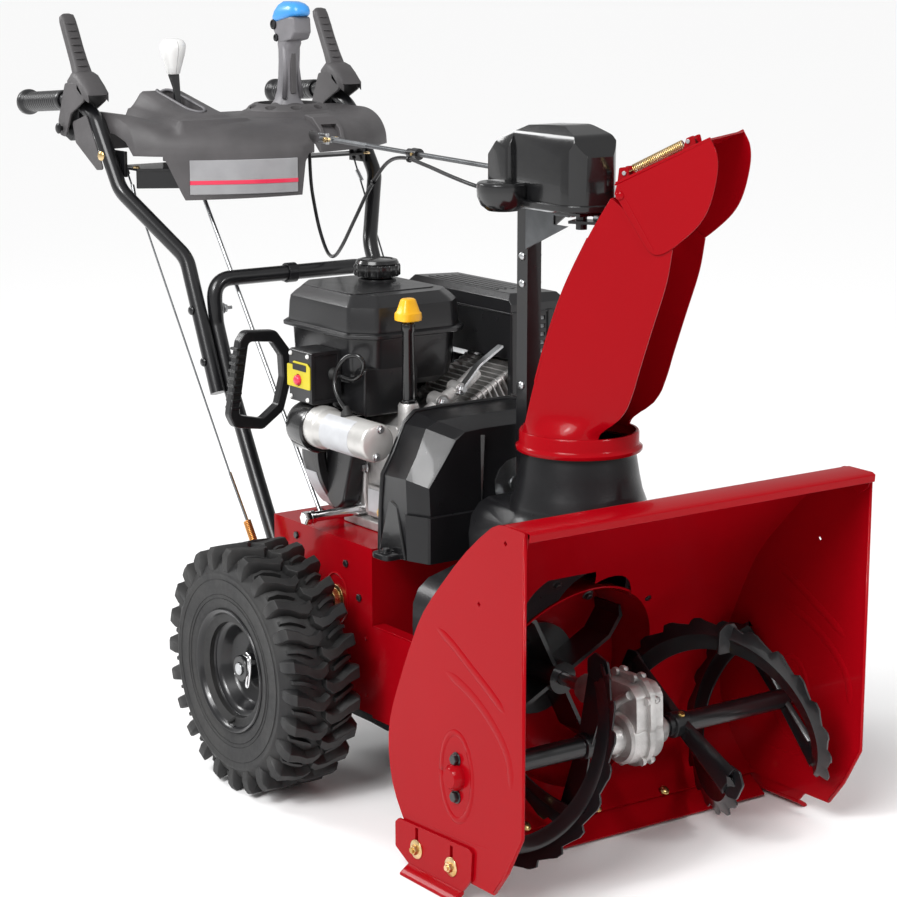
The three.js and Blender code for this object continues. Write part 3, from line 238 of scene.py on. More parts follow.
# ---------------------------------------------------------------- shapes
class Shape:
    """Vertices in millimetres and the faces between them, as lists of indices."""

    def __init__(self, points, faces):
        self.points = [Vector(p) for p in points]
        self.faces = faces

    def __add__(self, other):
        shift = len(self.points)
        return Shape(self.points + other.points, self.faces + [[i + shift for i in f] for f in other.faces])

    def moved(self, matrix):
        return Shape([matrix @ p for p in self.points], self.faces)

    def shifted(self, x, y, z):
        return self.moved(Matrix.Translation((x, y, z)))


def total(shapes):
    """Several shapes as one."""
    result = Shape([], [])
    for shape in shapes:
        result = result + shape
    return result


def loft(rings, closed=False, caps=True):
    """A skin through rings that all have the same number of points."""
    n = len(rings[0])
    points = [p for ring in rings for p in ring]
    faces = []
    for i in range(len(rings) - (0 if closed else 1)):
        a, b = i * n, ((i + 1) % len(rings)) * n
        faces += [[a + k, a + (k + 1) % n, b + (k + 1) % n, b + k] for k in range(n)]
    if caps and not closed:
        faces += [list(range(n))[::-1], list(range(len(points) - n, len(points)))]
    return Shape(points, faces)


def slab(axis, outline, start, end):
    """An outline extruded along an axis: in (y, z) for x, in (x, z) for y, in (x, y) for z."""
    def lift(a, b, c):
        return {"x": (c, a, b), "y": (a, c, b), "z": (a, b, c)}[axis]
    return loft([[lift(a, b, c) for a, b in outline] for c in (start, end)])


def block(x, y, z):
    """A box between three (low, high) pairs."""
    return slab("z", [(x[0], y[0]), (x[1], y[0]), (x[1], y[1]), (x[0], y[1])], *z)


def lathe(profile, axis, centre, steps=56):
    """A closed outline of (radius, distance) pairs turned about an axis through a point."""
    rings = []
    for i in range(steps):
        angle = 2 * math.pi * i / steps
        c, s = math.cos(angle), math.sin(angle)
        rings.append([{"x": (t, r * c, r * s), "y": (r * c, t, r * s), "z": (r * c, r * s, t)}[axis]
                      for r, t in profile])
    return loft(rings, closed=True).shifted(*centre)


def rod(start, end, radius, sides=24):
    """A straight round bar."""
    return sweep([start, end], radius, sides)


def sweep(points, radius, sides=16, section=None, taper=0):
    """A round bar, or a bar of a given (across, up) section, along a list of points."""
    path = [Vector(p) for p in points]
    section = section or [(radius * math.cos(2 * math.pi * k / sides),
                           radius * math.sin(2 * math.pi * k / sides)) for k in range(sides)]
    rings = []
    across = None
    for i, place in enumerate(path):
        ahead = (path[min(i + 1, len(path) - 1)] - path[max(i - 1, 0)]).normalized()
        if across is None:
            across = ahead.cross(Vector((0, 0, 1)) if abs(ahead.z) < 0.9 else Vector((0, 1, 0))).normalized()
        across = (across - ahead * across.dot(ahead)).normalized()
        up = across.cross(ahead)
        fade = min(1, (min(i, len(path) - 1 - i) + 0.2) / taper) if taper else 1
        rings.append([place + across * a * fade + up * b * fade for a, b in section])
    return loft(rings)


def bead(name, points, height, half_width):
    """A broad, low bead pressed into a side plate, standing out of both its faces."""
    section = [(height * math.cos(math.pi * k / 8), half_width * math.sin(math.pi * k / 8))
               for k in range(16)]
    piece(name, sweep(points, 0, section=section, taper=7), "red_paint", sharp=180)


def bent(points, radius, steps=8):
    """A polyline whose corners are rounded."""
    corners = [Vector(p) for p in points]
    path = [corners[0]]
    for i in range(1, len(corners) - 1):
        before, after = corners[i - 1] - corners[i], corners[i + 1] - corners[i]
        half = before.angle(after) / 2
        reach = min(radius / math.tan(half), before.length * 0.48, after.length * 0.48)
        a, b = corners[i] + before.normalized() * reach, corners[i] + after.normalized() * reach
        for k in range(steps + 1):
            t = k / steps
            path.append(a * (1 - t) ** 2 + corners[i] * 2 * t * (1 - t) + b * t * t)
    return path + [corners[-1]]


def curve(points, steps=6):
    """A smooth line through points, in any number of dimensions."""
    p = [Vector(q) for q in points]
    p = [2 * p[0] - p[1]] + p + [2 * p[-1] - p[-2]]
    line = []
    for i in range(1, len(p) - 2):
        for k in range(steps):
            t = k / steps
            line.append(0.5 * (2 * p[i] + (p[i + 1] - p[i - 1]) * t
                               + (2 * p[i - 1] - 5 * p[i] + 4 * p[i + 1] - p[i + 2]) * t * t
                               + (3 * p[i] - p[i - 1] - 3 * p[i + 1] + p[i + 2]) * t ** 3))
    return line + [p[-2]]


def arc(centre, radius, start, end, steps):
    """Points on a circle, between two angles in degrees."""
    return [(centre[0] + radius * math.cos(math.radians(start + (end - start) * i / steps)),
             centre[1] + radius * math.sin(math.radians(start + (end - start) * i / steps)))
            for i in range(steps + 1)]


def offset(path, distance):
    """A plane path moved to its left."""
    moved = []
    for i, (a, b) in enumerate(path):
        a0, b0 = path[max(i - 1, 0)]
        a1, b1 = path[min(i + 1, len(path) - 1)]
        length = math.hypot(a1 - a0, b1 - b0)
        moved.append((a - (b1 - b0) / length * distance, b + (a1 - a0) / length * distance))
    return moved


def sheet(path, thickness):
    """The closed outline of sheet metal bent along a plane path."""
    return list(path) + offset(path, thickness)[::-1]


def soft(outline, radius, steps=4):
    """A closed outline with rounded corners."""
    n = len(outline)
    result = []
    for i in range(n):
        before = Vector(outline[i - 1]) - Vector(outline[i])
        after = Vector(outline[(i + 1) % n]) - Vector(outline[i])
        half = before.angle(after) / 2
        reach = min(radius / max(math.tan(half), 0.05), before.length * 0.45, after.length * 0.45)
        a = Vector(outline[i]) + before.normalized() * reach
        b = Vector(outline[i]) + after.normalized() * reach
        for k in range(steps + 1):
            t = k / steps
            result.append(tuple(a * (1 - t) ** 2 + Vector(outline[i]) * 2 * t * (1 - t) + b * t * t))
    return result


def facing(direction):
    """Turns +Z to a direction."""
    return Vector(direction).to_track_quat("Z", "Y").to_matrix().to_4x4()


def bolt(place, direction, size=6.5, height=5, washer=0.0):
    """A hexagon head, with a washer under it if it has one."""
    hexagon = [(size * math.cos(math.pi / 3 * k), size * math.sin(math.pi / 3 * k)) for k in range(6)]
    small = [(0.86 * a, 0.86 * b) for a, b in hexagon]
    rings = [[(a, b, 0) for a, b in hexagon], [(a, b, height * 0.75) for a, b in hexagon],
             [(a, b, height) for a, b in small]]
    head = loft(rings)
    if washer:
        head = head.shifted(0, 0, 1.6) + lathe([(0, 0), (washer, 0), (washer, 1.2), (washer - 0.8, 1.8),
                                                (0, 1.8)], "z", (0, 0, 0), 24)
    return head.moved(Matrix.Translation(place) @ facing(direction))


def screw(place, direction, size=5, height=3):
    """A round, domed screw head."""
    dome = [(0, 0), (size, 0), (size, height * 0.4), (size * 0.75, height * 0.85), (size * 0.3, height),
            (0, height)]
    return lathe(dome, "z", (0, 0, 0), 20).moved(Matrix.Translation(place) @ facing(direction))


STEPS_PER_TURN = 14


def helix(start, end, radius, turns, wire, sides=8):
    """A coil of wire between two points."""
    a, b = Vector(start), Vector(end)
    turn = facing(b - a)
    steps = int(turns * STEPS_PER_TURN)
    path = []
    for i in range(steps + 1):
        angle = 2 * math.pi * turns * i / steps
        path.append(a + turn @ Vector((radius * math.cos(angle), radius * math.sin(angle),
                                       (b - a).length * i / steps)))
    return sweep(path, wire, sides)


# ---------------------------------------------------------------- pieces
def raw_object(name, shape):
    """A mesh object in the scene, with doubled points merged and its faces turned outward."""
    mesh = bpy.data.meshes.new(name)
    mesh.from_pydata([(p.x * MM, LIP + p.y * MM, p.z * MM) for p in shape.points], [], shape.faces)
    work = bmesh.new()
    work.from_mesh(mesh)
    bmesh.ops.remove_doubles(work, verts=work.verts, dist=2e-6)
    bmesh.ops.dissolve_degenerate(work, edges=work.edges, dist=1e-6)
    bmesh.ops.recalc_face_normals(work, faces=work.faces)
    work.to_mesh(mesh)
    work.free()
    made = bpy.data.objects.new(name, mesh)
    bpy.context.scene.collection.objects.link(made)
    return made


def carve(target, cutter, operation="DIFFERENCE"):
    """Cuts one shape out of an object, for good."""
    tool = raw_object("tool", cutter)
    change = target.modifiers.new("cut", "BOOLEAN")
    change.object = tool
    change.operation = operation
    change.solver = "EXACT"
    seen = target.evaluated_get(bpy.context.evaluated_depsgraph_get())
    target.data = bpy.data.meshes.new_from_object(seen)
    target.modifiers.clear()
    bpy.data.objects.remove(tool)


def smooth_shading(made, angle):
    """Smooth faces, with sharp edges where they meet at more than an angle."""
    made.data.shade_smooth()
    made.data.set_sharp_from_angle(angle=math.radians(angle))


def round_edges(made, width, segments, angle, harden=True):
    """Rounds every edge that is sharper than an angle."""
    edge = made.modifiers.new("edges", "BEVEL")
    edge.width = width * MM
    edge.segments = segments
    edge.limit_method = "ANGLE"
    edge.angle_limit = math.radians(angle)
    edge.harden_normals = harden


def place_on(made, paint, body, replaces=()):
    """Gives a piece its material, the body it rides on and the CAD nodes it stands for."""
    made.data.materials.append(PAINTS[paint])
    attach(made, body)
    if replaces:
        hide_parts(*replaces)


def piece(name, shape, paint, body="root", bevel=0.0, segments=2, sharp=38, cuts=(), replaces=(),
          place=None):
    """Makes one visible piece: its mesh, softened edges, material and the body it rides on."""
    if place is not None:
        shape = shape.moved(place)
        cuts = [cut.moved(place) for cut in cuts]
    made = raw_object(name, shape)
    for cut in cuts:
        carve(made, cut)
    smooth_shading(made, sharp)
    if bevel:
        round_edges(made, bevel, segments, sharp)
    place_on(made, paint, body, replaces)


def finish_casting(made, paint, bevel, sharp, node):
    """Shading, rounded edges, material and body for a piece joined from several shapes."""
    smooth_shading(made, sharp)
    round_edges(made, bevel, 4, sharp)
    place_on(made, paint, "root", (node,))


def keep(node, paint, bevel=0.8):
    """A CAD node that stays: it gets its material and softened edges."""
    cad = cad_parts[node]
    cad.data.materials.clear()
    cad.data.materials.append(PAINTS[paint])
    round_edges(cad, bevel, 2, 40, harden=False)


# ---------------------------------------------------------------- auger housing
HOUSING_CURVE = [
    (54, 542), (79, 535), (137, 490), (190, 437), (236, 385), (264, 337), (296, 269),
    (318, 213), (322, 166), (313, 119), (290, 79), (262, 48), (236, 30),
]


def housing():
    rear = [tuple(p) for p in curve(HOUSING_CURVE, 6)]
    shell = slab("x", sheet(offset(rear, -1), -SHEET), -HOUSING_X - 1, HOUSING_X + 1)
    mouth = lathe([(0, 150), (151.5, 150), (151.5, 392), (0, 392)], "y", (0, 0, IMPELLER_Z), 80)
    lobe = lathe([(0, 300), (62, 300), (62, 402), (0, 402)], "z", (-66, 262, 0), 48)
    neck_hole = lathe([(0, 330), (70, 330), (70, 420), (0, 420)], "z", (20, 300, 0), 48)
    piece("housing_shell", shell, "red_paint", cuts=(mouth, lobe, neck_hole), sharp=30,
          replaces=("auger_housing",))
    bar = sheet([(1, 529), (0, 540), (6, 543), (54, 543.4)], -SHEET)
    piece("housing_top_bar", slab("x", bar, -HOUSING_X - 1, HOUSING_X + 1), "red_paint", bevel=1.4)

    outline = soft([(8, 541)] + rear[::3] + [(71, 30), (41, 69), (9, 127)], 5)
    beads = {
        "upper": ([(222, 376), (172, 358), (123, 332), (78, 308), (32, 279)], 2.8, 8),
        "lower": ([(222, 322), (136, 301), (74, 266), (40, 224), (36, 160)], 2.4, 9),
        "fold": ([(52, 96), (110, 88), (190, 84), (262, 86)], 1.8, 4),
    }
    oval = [(AUGER[0] + 36 * math.cos(a), AUGER[1] + 62 * math.sin(a))
            for a in [math.radians(10 * k) for k in range(37)]]
    shaft_end = (-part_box("auger_shaft")[0].x / MM) - HOUSING_X
    for side, sign in RIGHT_LEFT:
        x = sign * HOUSING_X
        plate = slab("x", outline, *sorted((x, x + sign * SHEET)))
        holes = [slab("x", [(y - 4, z), (y, z - 4), (y + 4, z), (y, z + 4)], x - 8, x + 8)
                 for y, z in ((50, 519), (108, 425))]
        piece(f"housing_side_{side}", plate, "red_paint", bevel=0.8, cuts=holes)
        mid = x + sign * SHEET / 2
        edge = bent([(mid, 10, 536), (mid, 11, 128), (mid, 43, 71), (mid, 71, 34)], 14)
        piece(f"housing_edge_{side}", sweep(edge, 2.7, 12), "red_paint", sharp=180)
        for part, (points, height, half_width) in beads.items():
            bead(f"housing_bead_{part}_{side}", curve([(mid, y, z) for y, z in points], 10), height,
                 half_width)
        section = [(2.5 * math.cos(math.pi * k / 6), 6 * math.sin(math.pi * k / 6)) for k in range(12)]
        piece(f"housing_pocket_{side}", sweep([(mid, y, z) for y, z in oval], 0, section=section),
              "red_paint", sharp=180)
        heads = total(bolt((x + sign * SHEET, AUGER[0], AUGER[1] + dz), (sign, 0, 0), 8, 6, 10)
                      for dz in (25, -28))
        piece(f"bearing_bolts_{side}", heads, "black_paint", bevel=0.5)
        cup = [(11, 2.5), (19, 2.5), (18, shaft_end - 3), (13, shaft_end + 2.5), (0, shaft_end + 2.5),
               (0, shaft_end + 1), (11, shaft_end + 1)]
        bearing = lathe([(r, x + sign * t) for r, t in cup], "x", (0, *AUGER), 40)
        piece(f"auger_bearing_{side}", bearing, "red_paint", bevel=0.5)
        corner = slab("x", soft([(6, 543), (56, 543), (56, 520), (30, 506), (10, 520)], 5),
                      *sorted((x - sign * SHEET, x)))
        piece(f"housing_gusset_{side}", corner, "red_paint", bevel=0.8, cuts=holes[:1])

    drum = [(152, 236), (155, 236), (155, 396), (12, 396), (12, 393), (152, 393)]
    outer = slab("x", [(0, 560)] + offset(rear, -1.5) + [(0, 0)], -HOUSING_X, HOUSING_X)
    piece("impeller_drum", lathe(drum, "y", (0, 0, IMPELLER_Z), 80), "red_paint", cuts=(outer,), sharp=30)
    spots = ((-79, 236.5, 388), (-8, 254.5, 358), (112, 266.5, 334))
    inner_bolts = [bolt(spot, (0, -0.80, -0.6), 6, 5, 9) for spot in spots]
    piece("housing_bolts", total(inner_bolts), "black_paint", bevel=0.4)


def scraper():
    path = [(258, 44.2), (236, 28.3), (204, 7)]
    bar = slab("x", sheet(offset(path, 1.4), 4), -HOUSING_X + 3, HOUSING_X - 3)
    piece("scraper", bar, "red_paint", bevel=1.0, replaces=("scraper_bar",))
    heads = [screw((x, 238, 37), (0, -0.62, 0.78), 8, 5) for x in (-262, -129, 0, 129, 262)]
    piece("scraper_bolts", total(heads), "gold_zinc", bevel=0.3)


def skids():
    x = -HOUSING_X - 3.4
    side = slab("x", soft([(116, 76), (124, 80), (292, 73), (300, 66), (300, 30), (268, 14), (139, 14),
                           (119, 36)], 4), x - 4, x)
    foot = slab("y", [(x, 14), (x - 4, 14), (x - 17, 5.5), (x - 19, 3), (x - 19, 0), (x - 13, 0),
                      (x - 3, 7), (x, 9)], 139, 268)
    slots = [block((x - 10, x + 5), (y - 3.5, y + 3.5), (34, 72)) for y in (164, 247)]
    for side_name, place in SIDES:
        piece(f"skid_plate_{side_name}", side, "red_paint", bevel=0.8, cuts=slots, place=place,
              replaces=(f"skid_{side_name}",))
        piece(f"skid_shoe_{side_name}", foot, "red_paint", bevel=1.2, place=place)
        heads = total(bolt((x - 4, y, z), (-1, 0, 0), 7.5, 6, 14) for y, z in ((164, 42), (247, 41)))
        heads = heads + total(rod((x - 10, y, z), (x - 14, y, z), 4, 16) for y, z in ((164, 42), (247, 41)))
        piece(f"skid_bolts_{side_name}", heads, "gold_zinc", bevel=0.4, place=place)


# ---------------------------------------------------------------- augers and gearcase
RIBBON_INNER, RIBBON_OUTER = 99, 145
NOTCH_DEPTH, NOTCH_SHARE = 9, 0.62


def serrated_radius(turn, tooth):
    """Rim radius of an auger ribbon: rounded notches between broad teeth."""
    phase = (turn / tooth) % 1.0
    notch = NOTCH_DEPTH * (1 - min(1.0, phase / NOTCH_SHARE)) ** 0.6 * (1 if phase < NOTCH_SHARE else 0)
    return RIBBON_OUTER - notch - (3 if phase > 0.93 else 0)


def ribbon(start, sweep_degrees, start_x, end_x):
    """A helical band with a toothed rim, an inner edge and a pressed bead."""
    rings = []
    steps = 110
    for i in range(steps + 1):
        t = i / steps
        angle = math.radians(start + sweep_degrees * t)
        x = start_x + (end_x - start_x) * t
        taper = min(1.0, min(t, 1 - t) / 0.05)
        rim = serrated_radius(t * abs(sweep_degrees), 17.5)
        outer = RIBBON_INNER + (rim - RIBBON_INNER) * (0.55 + 0.45 * taper)
        c, s = math.cos(angle), math.sin(angle)
        across = [(RIBBON_INNER, 0), (104, 2.2), (116, 2.6), (122, 6.0), (128, 2.6), (outer, 0.4)]
        ring = [(x + dx, AUGER[0] + r * c, AUGER[1] + r * s) for r, dx in across]
        ring += [(x + dx - 3.0, AUGER[0] + r * c, AUGER[1] + r * s) for r, dx in across[::-1]]
        rings.append(ring)
    return loft(rings)


def at_auger(degrees):
    """Turns a shape drawn above the auger's axis to an angle round it."""
    return Matrix.Translation((0, *AUGER)) @ Matrix.Rotation(math.radians(degrees - 90), 4, "X")


def auger_arm(degrees, x, width, reach):
    """A pressed arm from the tube to the ribbon, hollowed along its middle."""
    rings = []
    for i in range(15):
        t = i / 14
        r = 8 + (reach - 8) * t
        half = width / 2 * (0.75 + 0.45 * t)
        rings.append([(x - 2, -half, r), (x + 3, -half * 0.6, r), (x - 1, 0, r), (x + 3, half * 0.6, r),
                      (x - 2, half, r), (x - 5, half, r), (x - 4, 0, r), (x - 5, -half, r)])
    return loft(rings).moved(at_auger(degrees))


PADDLE = [(-20, 108), (20, 108), (26, 130), (14, 146), (-14, 146), (-24, 130)]


def augers():
    outer_x, inner_x = -HOUSING_X + 12, -62
    tube = lathe([(10.2, outer_x), (15, outer_x), (15, inner_x), (10.2, inner_x)], "x", (0, *AUGER), 40)
    collars = lathe([(15, inner_x - 34), (19, inner_x - 32), (19, inner_x - 8), (15, inner_x - 6)], "x",
                    (0, *AUGER), 40)
    for (side, place), starts in zip(SIDES, ((310, 130), (232, 52))):
        piece(f"auger_tube_{side}", tube + collars, "black_paint", "augers", bevel=0.6, place=place,
              replaces=(f"auger_{side}",))
        for number, start in enumerate(starts):
            band = ribbon(start, -210, outer_x + 4, inner_x - 22)
            piece(f"auger_ribbon_{side}_{number}", band, "black_paint", "augers", bevel=0.5, sharp=50,
                  place=place)
            arms = auger_arm(start - 8, outer_x + 10, 30, 108)
            arms = arms + auger_arm(start - 204, inner_x - 22, 40, 122)
            piece(f"auger_arms_{side}_{number}", arms, "black_paint", "augers", bevel=0.6, sharp=60,
                  place=place)
            paddle = slab("x", soft(PADDLE, 6), inner_x - 31, inner_x - 27)
            piece(f"auger_paddle_{side}_{number}", paddle, "black_paint", "augers", bevel=0.8,
                  place=place @ at_auger(start - 204))
        shear = bolt((inner_x - 20, AUGER[0], AUGER[1] + 17), (0, 0, 1), 5.5, 5)
        shear = shear + rod((inner_x - 20, AUGER[0], AUGER[1] - 26),
                            (inner_x - 20, AUGER[0], AUGER[1] + 18), 3)
        shear = shear.moved(Matrix.Translation((0, *AUGER)) @ Matrix.Rotation(0.5, 4, "X")
                            @ Matrix.Translation((0, -AUGER[0], -AUGER[1])))
        piece(f"shear_bolt_{side}", shear, "gold_zinc", "augers", bevel=0.4, place=place)
    outline = [(-166, 100), (-140, 100), (-136, 138), (-146, 147), (-162, 147), (-170, 138)]
    middle = slab("y", soft(outline, 6), -4, 0)
    piece("auger_paddle_left_2", middle, "black_paint", "augers", bevel=0.8,
          place=SIDES[1][1] @ at_auger(100))
    keep("auger_shaft", "steel", 0.3)


GEARCASE_SCREWS = [(119, 232), (150, 259), (190, 259), (226, 226), (226, 196), (127, 142), (172, 130),
                   (205, 156)]


def gear_housing():
    y, z = AUGER
    lower = lathe([(0, -30), (34, -30), (38, -26), (40, -6), (40, 6), (38, 26), (34, 30), (0, 30)], "x",
                  (0, y, z), 56)
    upper_outline = soft([(120, 186), (122, 238), (138, 252), (198, 252), (224, 236), (224, 190),
                          (196, 150)], 12)
    upper = slab("x", upper_outline, -24, 24)
    seam_outline = soft([(112, 186), (115, 242), (134, 260), (201, 260), (231, 240), (231, 186),
                         (203, 148)], 14)
    seam = slab("x", seam_outline, -4.5, 4.5)
    ring = lathe([(36, -4.5), (45, -4.5), (45, 4.5), (36, 4.5)], "x", (0, y, z), 56)
    boss = lathe([(10.2, -52), (19, -52), (21, -49), (22, -30), (22, 30), (21, 49), (19, 52), (10.2, 52)],
                 "x", (0, y, z), 40)
    nose = lathe([(10, 215), (24, 215), (22, 262), (20, 268), (10, 268)], "y", (0, 0, IMPELLER_Z), 40)
    casting = raw_object("gearcase_body", lower)
    for part in (upper, seam, ring, boss, nose):
        carve(casting, part, "UNION")
    carve(casting, lathe([(0, 130), (9.9, 130), (9.9, 290), (0, 290)], "y", (0, 0, IMPELLER_Z), 32))
    finish_casting(casting, "cast_aluminium", 2.2, 38, "gearcase")
    ribs = []
    for sign in (-1, 1):
        ribs.append(sweep(curve([(sign * 25, 136, 240), (sign * 28, 158, 226), (sign * 31, 176, 200),
                                 (sign * 31, 172, 172), (sign * 30, 154, 146)], 6), 6.5, 12))
        ribs.append(sweep([(sign * 25, 200, 244), (sign * 30, 186, 196)], 5, 10))
        for py, pz in GEARCASE_SCREWS:
            ribs.append(lathe([(0, 0), (6.5, 0), (6, 6), (0, 6)], "x", (4 if sign > 0 else -10, py, pz), 20))
    piece("gearcase_ribs", total(ribs), "cast_aluminium", bevel=0.8)
    heads = [bolt((10, py, pz), (1, 0, 0), 4.6, 4) for py, pz in GEARCASE_SCREWS]
    piece("gearcase_bolts", total(heads), "steel", bevel=0.3)


# ---------------------------------------------------------------- discharge base and chute
def discharge_base():
    half = [(212, 262), (216, 312), (215, 346), (206, 366), (188, 380), (150, 390), (118, 399), (115, 412),
            (117, 436), (112, 462), (98, 479), (80, 486)]
    arch = [(-x, z) for x, z in half] + half[::-1]
    dome = raw_object("discharge_dome", slab("y", arch, 190, 396))
    rear = [tuple(p) for p in curve(HOUSING_CURVE, 4)]
    inside_housing = slab("x", [(54, 600)] + offset(rear, 0.6) + [(0, 0), (0, 620)], -340, 340)
    drum_room = lathe([(0, 140), (155.5, 140), (155.5, 420), (0, 420)], "y", (0, 0, IMPELLER_Z), 80)
    passage = lathe([(0, 280), (70, 280), (70, 620), (0, 620)], "z", (0, DISCHARGE_Y, 0), 48)
    sides = [block((-300, 300), (0, 400), (200, 264)), block((-300, 300), (0, 196), (390, 620))]
    bell = [(0, 440), (118, 446)] + [(98 + 18 * (1 - t) ** 2.2, 462 + 30 * t)
                                     for t in [k / 8 for k in range(9)]]
    bell += [(92, 508), (87, 532), (83, 556), (80, 566), (80, 578), (0, 578)]
    carve(dome, lathe(bell, "z", (0, DISCHARGE_Y, 0), 72), "UNION")
    for tool in (inside_housing, drum_room, passage, *sides, block((-300, 300), (396, 520), (200, 620))):
        carve(dome, tool)
    finish_casting(dome, "black_plastic", 9, 50, "chute_base")


def forward(outline):
    """An outline whose first measure is counted forward instead of backward."""
    return [(-u, z) for u, z in outline]


def chute_piece(name, shape, body="chute_unit", paint="red_paint", **options):
    """A piece drawn square to the chute and turned with it."""
    piece(name, shape, paint, body, place=CHUTE_PLACE, **options)


CHUTE_BACK = [(-60, 590), (-43, 662), (-24, 732), (1, 804), (33, 871), (52, 905), (70, 934)]
CHUTE_FRONT = [(160, 868), (152, 820), (133, 757), (116, 700), (108, 671), (98, 642), (71, 605), (54, 590)]


def chute():
    back = [tuple(p) for p in curve(CHUTE_BACK, 8)]
    front = [tuple(p) for p in curve(CHUTE_FRONT[:6], 8)] + [tuple(p) for p in curve(CHUTE_FRONT[5:], 8)][1:]
    front = front[::-1]
    rings = []
    levels = 40
    for i in range(levels + 1):
        b = back[round(i / levels * (len(back) - 1))]
        f = front[round(i / levels * (len(front) - 1))]
        rings.append(chute_section(b, f, 0) + chute_section(b, f, 2.5)[::-1])
    chute_piece("chute_body", loft(rings), bevel=0.6, sharp=50, replaces=("chute",))
    for name, sign in NEAR_FAR:
        seam = sweep([(sign * (CHUTE_HALF - 1.5), -u - 1, z) for u, z in back if 668 < z < 880], 2.2, 10)
        chute_piece(f"chute_seam_{name}", seam)
    ring = [(81.5, 567), (84, 566), (90, 566), (91, 567.5), (91, 571), (88, 573.5), (86, 577), (86, 592),
            (84.5, 594.5), (81.5, 594.5)]
    chute_piece("chute_ring", lathe(ring, "z", (0, 0, 0), 96), sharp=50)
    hinge = slab("x", forward(soft([(56, 936), (60, 970), (74, 972), (76, 950), (70, 934)], 3)), -14, 14)
    hinge_gap = slab("x", forward([(50, 944), (50, 990), (90, 990), (90, 944)]), -11, 11)
    chute_piece("chute_lug", hinge, cuts=(hinge_gap,), bevel=0.8)
    pin = rod((-16, -68, 963), (16, -68, 963), 3, 16)
    chute_piece("chute_lug_pin", pin, paint="steel", bevel=0.4)
    keep("chute_spindle", "black_paint", 0.5)


RING_RADIUS = 83                  # the chute is round at its ring and square a little higher
ROUND_BELOW, SQUARE_ABOVE = 592, 626


def chute_section(b, f, inset):
    """The chute's open section at one level: a circle arc at the ring, a flat U higher up."""
    half, radius = CHUTE_HALF - inset, RING_RADIUS - inset
    points = []
    steps = 12
    for part, (start, end) in enumerate(((49.4, 136.5), (136.5, 223.5), (223.5, 310.6))):
        for k in range(steps + (part == 2)):
            t = k / steps
            if part == 0:
                x, u, z = -half, f[0] + (b[0] + inset - f[0]) * t, f[1] + (b[1] - f[1]) * t
            elif part == 1:
                x, u, z = -half + 2 * half * t, b[0] + inset, b[1]
            else:
                x, u, z = half, b[0] + inset + (f[0] - b[0] - inset) * t, b[1] + (f[1] - b[1]) * t
            a = math.radians(start + (end - start) * t)
            rise = max(0.0, min(1.0, (z - ROUND_BELOW) / (SQUARE_ABOVE - ROUND_BELOW)))
            blend = 1 - rise * rise * (3 - 2 * rise)
            round_x, round_u = -radius * math.sin(a), radius * math.cos(a)
            points.append((x + (round_x - x) * blend, -(u + (round_u - u) * blend), z))
    return points


def deflector():
    outline = [(76, 940), (79, 953), (212, 1019)]
    outline += [tuple(p) for p in curve([(212, 1019), (221, 1000), (222, 973), (213, 932), (198, 904),
                                         (171, 878), (150, 863), (136, 860), (124, 868), (107, 894)], 5)][1:]
    x = CHUTE_HALF + 0.6
    for name, sign in NEAR_FAR:
        side = slab("x", forward(outline), *sorted((sign * x, sign * (x + 2.2))))
        chute_piece(f"deflector_side_{name}", side, "deflector", bevel=0.9)
        line = curve([(84, 948), (110, 905), (134, 866)], 6)
        crease = sweep([(sign * (x + 1.4), -u, z) for u, z in line], 1.3, 8)
        chute_piece(f"deflector_crease_{name}", crease, "deflector")
    top = slab("x", forward([(76, 951), (212, 1018), (211, 1020.5), (75, 953.5)]), -x - 1, x + 1)
    chute_piece("deflector_top", top, "deflector", bevel=0.9, replaces=("chute_deflector",))
    for name, sign in NEAR_FAR:
        hem = sweep([(sign * (x + 0.4), -78, 954.5), (sign * (x + 0.4), -211, 1020)], 2.2, 10)
        chute_piece(f"deflector_hem_{name}", hem, "deflector")
    ear = slab("x", forward(soft([(150, 988), (157, 1014), (168, 1019), (173, 998)], 3)), -14, 14)
    ear_gap = slab("x", forward([(140, 996), (140, 1030), (190, 1030), (190, 1004)]), -11, 11)
    chute_piece("deflector_ear", ear, "deflector", cuts=(ear_gap,), bevel=0.8)
    chute_piece("deflector_ear_pin", rod((-16, -160, 1010), (16, -160, 1010), 3, 16), "deflector", "steel",
                bevel=0.4)
    for name, sign in NEAR_FAR:
        rivet = screw((sign * (x + 2.2), -84, 938), (sign, 0, 0), 6, 3)
        chute_piece(f"deflector_rivet_{name}", rivet, "deflector")
    coil = helix((0, -78, 967), (0, -150, 1004), 7, 30, 1.05)
    hooks = sweep([(0, -66, 963), (0, -72, 964), (0, -78, 967)], 1.3,
                  8) + sweep([(0, -150, 1004), (0, -160, 1010)], 1.3, 8)
    spring = raw_object("deflector_coil", (coil + hooks).moved(CHUTE_PLACE))
    smooth_shading(spring, 60)
    spring.data.materials.append(PAINTS["gold_zinc"])
    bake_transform(spring)
    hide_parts("deflector_spring")


# ---------------------------------------------------------------- wheels
TYRE_SIDE = [(93, 56), (97, 59), (104, 60.4), (122, 61.4), (146, 61), (149, 62), (152, 61.6), (154, 59.6),
             (162, 56), (170, 48), (175, 34), (177, 16)]


LUGS = 24                         # tread blocks on each half of the tyre


